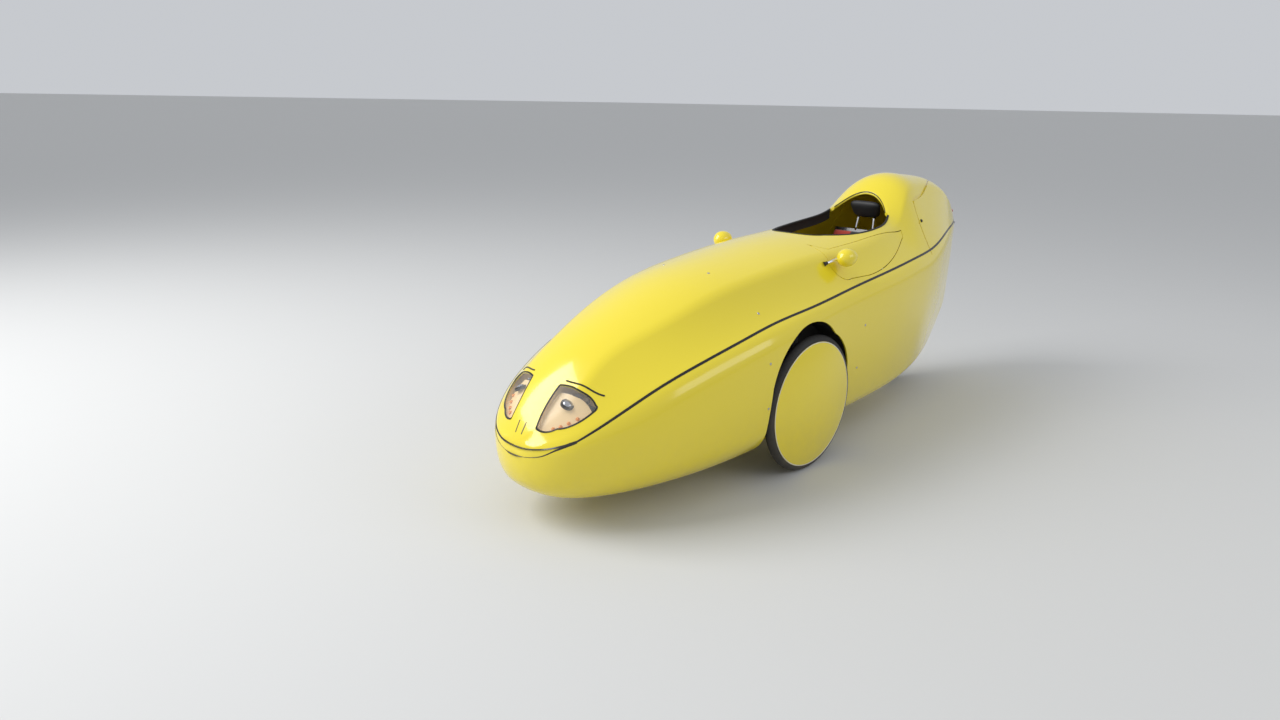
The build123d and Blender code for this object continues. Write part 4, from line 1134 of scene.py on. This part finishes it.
def on_deck(line):
    """Points of the shell's upper half above a line in plan."""
    flat = np.column_stack([line, np.zeros(len(line))])
    return shell_frame(flat, axes=(0, 1), rounds=UPPER, ways=tuple(way_at(x) for x in COCKPIT_X))[0]


def part_of_edge(margin, behind):
    """The part of the opening's outline that is behind the hood's start, or else the part in front of it."""
    line = spaced(opening_line(margin), 5, loop=True)
    line = np.roll(line, -(line[:, 0].argmax() if behind else line[:, 0].argmin()), axis=0)
    return line[(line[:, 0] < HOOD_START_X + 2) == behind]


edge = on_deck(part_of_edge(-2, False))
inward = np.cross(UP, along_line(edge))
inward /= np.linalg.norm(inward, axis=1, keepdims=True)
turn = np.radians(np.linspace(-50, 230, 13))
print("length of the rubber edge:", round(np.linalg.norm(np.diff(edge, axis=0), axis=1).sum()), "mm")
bead = np.stack([BEAD_R * np.cos(turn), BEAD_R * np.sin(turn) - BEAD_DROP], 1)
flap = np.array([(-1.4, -9), (-1.6, -38), (-0.4, -39.5), (1.2, -38), (1.4, -9)])
edging = swept("cockpit_edge", edge, inward, np.tile(UP, (len(edge), 1)), np.concatenate([bead, flap]))
dress(edging, "shell", ["cockpit_edging"], rubber)

# %% Hood lip
LIP_OVERLAP, LIP_ROUND = 0.6, 4.0
outer = on_deck(part_of_edge(LIP_OVERLAP, True))
count = len(outer)
mid, rim = [on_deck(spaced(part_of_edge(-HOOD_LIP_W + inset, True), 2)) for inset in (LIP_ROUND, 0.0)]
mid, rim = [line[np.linspace(0, len(line) - 1, count).round().astype(int)] for line in (mid, rim)]
lip = np.stack([outer - 0.3 * UP, mid - 0.2 * UP, rim - 2.5 * UP, rim - (HOOD_LIP_DEPTH - LIP_ROUND) * UP,
                mid - HOOD_LIP_DEPTH * UP, outer - HOOD_LIP_DEPTH * UP], 1)
dress(ringed("hood_lip", lip), "shell", [], yellow)
ups = np.tile(UP, (count, 1))
hood_trim = swept("hood_trim", rim - 2 * UP, np.cross(along_line(rim), ups), ups, round_bar(HOOD_TRIM_R, 8))
dress(hood_trim, "shell", [], rubber)

# %% [markdown]
# ## Tyres and wheel covers
# The tyres are narrow, almost slick, with fine slanted grooves. A tyre is a profile turned about the axle,
# and the grooves are part of the same formula: where a slanted wave is deep, the radius is a little
# smaller. An image of a tread would only fake them, and cut grooves would cost a boolean for each.

# %% Tyres
TYRE_HALF_W, RIM_R, BEAD = 17.5, 203.0, 13.0
TRACK_HALF = 327.5
GROOVES, GROOVE_DEPTH, GROOVE_SLANT = 72, 1.5, 0.22
GROOVE_INNER, GROOVE_OUTER = 2.5, 12.5


def tyre(name, centre, steps=576):
    """Radius and way across from the tyre's arcs; between GROOVE_INNER and GROOVE_OUTER from the middle the
    radius loses up to the groove depth where cos(GROOVES * angle + GROOVE_SLANT * way across) is near one."""
    flank = (RIM_R + 9, TYRE_HALF_W - 0.3)
    wide, tread = TYRE_R - 20, (TYRE_R - 5, TYRE_HALF_W * 0.66)
    half = np.concatenate([arc_through((TYRE_R, 0), tread, (wide, TYRE_HALF_W), 12)[:-1],
                           arc_through((wide, TYRE_HALF_W), flank, (RIM_R, BEAD), 5)])
    profile = np.concatenate([half, half[:0:-1] * [1, -1]])
    rings = turned_rings(profile, centre, (0, 1, 0), steps)
    angle = np.linspace(0, 2 * np.pi, steps, endpoint=False)[:, None]
    across = np.abs(profile[:, 1])[None]
    groove = np.clip(np.cos(GROOVES * angle + GROOVE_SLANT * across) * 3 - 1.8, 0, 1) * GROOVE_DEPTH
    groove *= (across > GROOVE_INNER) * (across < GROOVE_OUTER) * (profile[:, 0] > wide)[None]
    spoke = rings - np.array(centre)
    spoke[..., 1] = 0
    rings = rings - spoke / np.linalg.norm(spoke, axis=2, keepdims=True) * groove[..., None]
    return ringed(name, rings, True, 35)


# name, x and y of the wheel's middle, node
WHEELS = [("left", 0, TRACK_HALF, "front_tyre_left"), ("right", 0, -TRACK_HALF, "front_tyre_right"),
          ("rear", -WHEELBASE, 0, "rear_tyre")]
for name, x, y, node in WHEELS:
    dress(tyre("tyre_" + name, (x, y, TYRE_R)), name + "_wheel", [node], tyre_rubber)

# %% Pale edge of the wheel covers
COVER_EDGE_Y, COVER_EDGE_R = 346.2, 221.0
COVER_TRIM = [(-2.2, 0.9), (-1.0, 1.9), (0.9, 0.9), (0.9, -0.6), (-2.2, -0.6)]
trim = np.array(COVER_TRIM) + [COVER_EDGE_R, 0]
left_trim = turned("cover_trim_left", trim, (0, COVER_EDGE_Y, TYRE_R), (0, 1, 0), 128)
dress_pair(left_trim, [], white_trim, "left_wheel")

# %% [markdown]
# ## Mirrors
# Each mirror is an egg of painted plastic on a short polished stem with a dark clamp. An egg is a turned
# arc profile. It is made in three pieces, because each has its own finish.

# %% Mirrors
MIRROR = np.array([-250.0, 285.0, 722.0])
MIRROR_R, MIRROR_NOSE, MIRROR_CUT = 33.0, 41.0, 26.0
MIRROR_FOOT = np.array([-178.0, 237.6, 700.0])
STEM_R, STEM_START, STEM_INSIDE = 4.4, 3.0, 20.0
CLAMP = [(0, 1), (8.6, 1), (8.8, 2.5), (7.4, 4.2), (6.6, 5), (6.2, 14), (0, 14)]
egg_front = arc_through((0, MIRROR_NOSE), (0.64 * MIRROR_R, 0.75 * MIRROR_NOSE), (MIRROR_R, 0), 14)
egg_back = arc_through((MIRROR_R, 0), (0.96 * MIRROR_R, -0.5 * MIRROR_CUT), (0.84 * MIRROR_R, -MIRROR_CUT), 8)
egg_rim = [(0.78 * MIRROR_R, -MIRROR_CUT - 0.6), (0.76 * MIRROR_R, -MIRROR_CUT), (0, -MIRROR_CUT)]
egg = np.concatenate([egg_front, egg_back[1:], egg_rim])
mirror = turned("mirror_egg_left", egg, MIRROR, (1, 0, 0), 56, 50)
stem_way = MIRROR - [0, STEM_INSIDE, 0] - MIRROR_FOOT
stem_end = float(np.linalg.norm(stem_way))
stem_line = [(0, STEM_START), (STEM_R, STEM_START), (STEM_R, stem_end), (0, stem_end)]
stem = turned("mirror_stem_left", stem_line, MIRROR_FOOT, stem_way, 24)
clamp = turned("mirror_clamp_left", CLAMP, MIRROR_FOOT, stem_way, 24)
dress_pair(mirror, ["mirror_housing_left"], yellow)
dress_pair(stem, [], chrome)
dress_pair(clamp, [], black)

# %% [markdown]
# ## Seat and headrest
# The seat's pad is foam in a quilted cover, the headrest a stitched vinyl pad. Simulated cloth would take
# long and show little here, as both are tight. Both are closed surfaces of two parameters: the seat pad has
# cross channels in its height, and the headrest is a rounded block whose width grows upwards, with a piped
# seam round it.

# %% Seat pad
PAD_LINE = [((-318, 205), (-388, 158), (-468, 147)), ((-468, 147), (-540, 158), (-592, 214)),
            ((-592, 214), (-822, 729))]
PAD_HALF_W, PAD_T, PAD_END_ROUND = 125.0, 30.0, 12.0
CHANNEL_SPACING, CHANNEL_DEPTH, CHANNEL_WIDTH = 46.0, 0.30, 3.5
PAD_STEPS, SIDE_POWER, FACE_POWER = 56, 0.35, 0.6


def powered(value, power):
    """A power that keeps the sign."""
    return np.sign(value) * np.abs(value) ** power


runs = [arc_through(*run) if len(run) == 3 else np.array(run, float) for run in PAD_LINE]
middle = spaced(np.concatenate([runs[0], runs[1][1:], runs[2][1:]]), 5)
way = np.arange(len(middle)) * np.linalg.norm(middle[1] - middle[0])
ahead = along_line(middle)
square = np.stack([-ahead[:, 1], ahead[:, 0]], 1)
square *= np.sign(square[:, 1].mean())
angle = np.linspace(0, 2 * np.pi, PAD_STEPS, endpoint=False)
flat_cos, flat_sin = powered(np.cos(angle), SIDE_POWER), powered(np.sin(angle), FACE_POWER)
from_channel = way % CHANNEL_SPACING - CHANNEL_SPACING / 2
channel = 1 - CHANNEL_DEPTH * np.exp(-(from_channel / CHANNEL_WIDTH) ** 2)
from_end = np.minimum(way, way[::-1])
end_drop = (1 - from_end / PAD_END_ROUND) ** 2 * (from_end < PAD_END_ROUND)
end_round = np.sqrt(np.clip(1 - end_drop, 0.05, 1))
thick = PAD_T / 2 * end_round[:, None] * np.where(flat_sin > 0, channel[:, None] * flat_sin, flat_sin)
pad = np.stack([middle[:, :1] + thick * square[:, :1], PAD_HALF_W * np.tile(flat_cos, (len(middle), 1)),
                middle[:, 1:] + thick * square[:, 1:]], 2)
cushion = dress(ringed("seat_cushion", pad, sharp=60), "shell", ["seat_pad"], cloth)

# %% Headrest
HEADREST = np.array([-846.0, 0.0, 826.0])
HEADREST_SIZE, HEADREST_TILT = (16.0, 72.5, 37.0), math.radians(25)
AROUND_COUNT, OVER_COUNT = 72, 33
PIPING_R = 1.6


def soft_block(around, over):
    """A rounded block: a sphere's coordinates raised to powers below one, and a little wider at the top."""
    around, over = np.broadcast_arrays(around, over)
    x = powered(np.sin(over), 0.9)
    y = powered(np.cos(over), 0.7) * powered(np.cos(around), 0.55)
    z = powered(np.cos(over), 0.7) * powered(np.sin(around), 0.55)
    return np.stack([x, y * (0.90 + 0.10 * z), z], -1) * HEADREST_SIZE


def tilted(points):
    """Turned back about the cross axis and moved to the headrest's place."""
    c, s = math.cos(HEADREST_TILT), math.sin(HEADREST_TILT)
    x, y, z = points[..., 0], points[..., 1], points[..., 2]
    return np.stack([x * c + z * s, y, -x * s + z * c], -1) + HEADREST


around = np.linspace(0, 2 * np.pi, AROUND_COUNT, endpoint=False)[:, None]
over = np.linspace(-np.pi / 2, np.pi / 2, OVER_COUNT)[None, :]
block = tilted(soft_block(around, over))
block_faces = [grid_faces(AROUND_COUNT, OVER_COUNT, True, False)]
headrest = make_object("headrest_cushion", block.reshape(-1, 3), block_faces, 60, turn_out=True)
dress(headrest, "shell", ["headrest_pad"], vinyl)
seam = tilted(soft_block(around[:, 0], np.zeros(AROUND_COUNT)) * 1.005)
forward = np.tile(tilted(np.array([1.0, 0, 0])) - HEADREST, (AROUND_COUNT, 1))
seam_side = np.cross(along_line(seam, True), forward)
piping = swept("headrest_piping", seam, seam_side, forward, round_bar(PIPING_R, 8), True)
dress(piping, "shell", [], rubber)

# %% [markdown]
# ## Small fittings
# Screws hold the shell at the wheel arches, a small catch holds the hatch, and the hatch turns on a pin
# behind the tail. They are turned or swept shapes, too small for more.

# %% Screws and catch
SCREWS = [
    (297, 100, 706), (251, 277, 594), (289, 363, 450), (271, 353, 292), (-330, 335, 300), (-330, 340, 470)]
SCREW = [(0, 1.6), (2.2, 1.5), (4.4, 0.8), (4.8, -1), (0, -1)]
base, out = shell_frame(SCREWS)
screws = grouped("shell_screws_left", SCREW, base, out)
dress_pair(screws, [], steel)

CATCH_PLACE = [(-975, 189, 785)]
CATCH = [(0, 5), (5, 4.5), (7, 2), (7, -2), (0, -2)]
base, out = shell_frame(CATCH_PLACE)
dress(turned("hatch_catch", CATCH, base[0], out[0], 24), "hatch", [], black)

# %% Hinge
HINGE = np.array([-1660.0, 0.0, 706.0])
PIN_R, BORE_R, EYE_R = 3.0, 3.1, 6.0
PIN_HALF, KNUCKLE_HALF, LUG_HALF, LUG_Y = 18.0, 11.0, 3.0, 15.0


def eye(name, y, half):
    """A bored ring round the hinge's pin, y millimetres from the middle and twice half wide."""
    profile = [(BORE_R, -half), (EYE_R, -half), (EYE_R, half), (BORE_R, half)]
    return turned(name, profile, HINGE + [0, y, 0], (0, 1, 0), 24)


def strap(name, start, end, half_w, half_t):
    """A flat bar between two places given from the hinge's pin."""
    path = HINGE + np.array([start, end], float)
    profile = np.array([(-half_w, -half_t), (half_w, -half_t), (half_w, half_t), (-half_w, half_t)])
    return swept(name, path, np.tile([0, 1.0, 0], (2, 1)), np.tile(UP, (2, 1)), profile)


pin = turned("hinge_pin", [(0, -PIN_HALF), (PIN_R, -PIN_HALF), (PIN_R, PIN_HALF), (0, PIN_HALF)], HINGE,
             (0, 1, 0), 24)
dress(pin, "shell", [], steel)
dress(eye("hinge_knuckle", 0, KNUCKLE_HALF), "hatch", [], steel)
for side, y in (("left", LUG_Y), ("right", -LUG_Y)):
    dress(eye("hinge_lug_" + side, y, LUG_HALF), "shell", [], steel)
    dress(strap("hinge_arm_" + side, (0, y, -6), (16, y, -14), 3, 4), "shell", [], steel)
dress(strap("hinge_leaf", (0, 0, 6), (16, 0, 10), KNUCKLE_HALF, 3), "hatch", [], steel)

# %% [markdown]
# ## Camera, floor and light
# The camera stands ahead and to the left of the vehicle, at eye height, as in the photograph. Its place,
# direction and lens were found by fitting the wheel cover's ellipse and the lamp pairs. A large soft lamp
# stands for the high sun ahead on the right, and a weak one fills the near side.

# %% Camera
CAMERA_PLACE = (2.5628 + AXLE_AHEAD * MM, 1.9676, 1.2484)
CAMERA_HEADING, CAMERA_DOWN, CAMERA_ROLL = 3.90614, 0.28050, 0.01756
LENS_MM = 25.3125


def look_matrix(place, direction, down, roll):
    """Camera matrix: forward from heading and pitch, right across it and level, both turned by the roll."""
    flat = math.cos(down)
    ahead = Vector((math.cos(direction) * flat, math.sin(direction) * flat, -math.sin(down)))
    right = Vector((math.sin(direction), -math.cos(direction), 0))
    up = right.cross(ahead)
    across = math.cos(roll) * right + math.sin(roll) * up
    top = -math.sin(roll) * right + math.cos(roll) * up
    matrix = Matrix((across, top, -ahead)).transposed().to_4x4()
    matrix.translation = Vector(place)
    return matrix


lens = bpy.data.cameras.new("camera")
lens.lens = LENS_MM
lens.sensor_width = 36
lens.clip_end = 1000
camera = bpy.data.objects.new("camera", lens)
camera.matrix_world = look_matrix(CAMERA_PLACE, CAMERA_HEADING, CAMERA_DOWN, CAMERA_ROLL)
bpy.context.scene.collection.objects.link(camera)
bpy.context.scene.camera = camera
bpy.context.scene.view_settings.view_transform = "Standard"
print("camera at", [round(v, 3) for v in CAMERA_PLACE], "with a lens of", LENS_MM, "mm")

# %% Floor and light
FLOOR_REACH = 400.0
floor_mesh = bpy.data.meshes.new("floor")
corners = [(a * FLOOR_REACH, b * FLOOR_REACH, 0) for a, b in ((-1, -1), (1, -1), (1, 1), (-1, 1))]
floor_mesh.from_pydata(corners, [], [(0, 1, 2, 3)])
floor = bpy.data.objects.new("floor", floor_mesh)
bpy.context.scene.collection.objects.link(floor)
floor_grey = finish("studio floor", (0.62, 0.62, 0.61), (0.85, 0.95), 40, 0.0001, 0.0)
floor_mesh.materials.append(floor_grey)
print("floor:", 2 * FLOOR_REACH, "m wide")

# %% Sky and lamps
SKY_COLOUR, SKY_STRENGTH = (0.92, 0.95, 1.0, 1), 0.62
LOOK_AT = (0, 0, 0.5)
world = bpy.data.worlds.new("studio")
bpy.context.scene.world = world
world.use_nodes = True
sky = world.node_tree.nodes["Background"]
sky.inputs["Color"].default_value = SKY_COLOUR
sky.inputs["Strength"].default_value = SKY_STRENGTH


def softbox(name, place, size, power):
    """A rectangular area lamp at place that looks at the vehicle's middle."""
    lamp = bpy.data.lights.new(name, "AREA")
    lamp.energy = power
    lamp.shape = "RECTANGLE"
    lamp.size, lamp.size_y = size
    thing = bpy.data.objects.new(name, lamp)
    thing.location = place
    thing.rotation_euler = (Vector(LOOK_AT) - Vector(place)).to_track_quat("-Z", "Y").to_euler()
    bpy.context.scene.collection.objects.link(thing)
    return thing


softbox("high sun", (4.4, -3.2, 4.6), (4.5, 4.5), 380)
softbox("fill", (-1.5, 5, 3), (4, 2), 45)
print("lamps:", [lamp.name for lamp in bpy.data.lights])
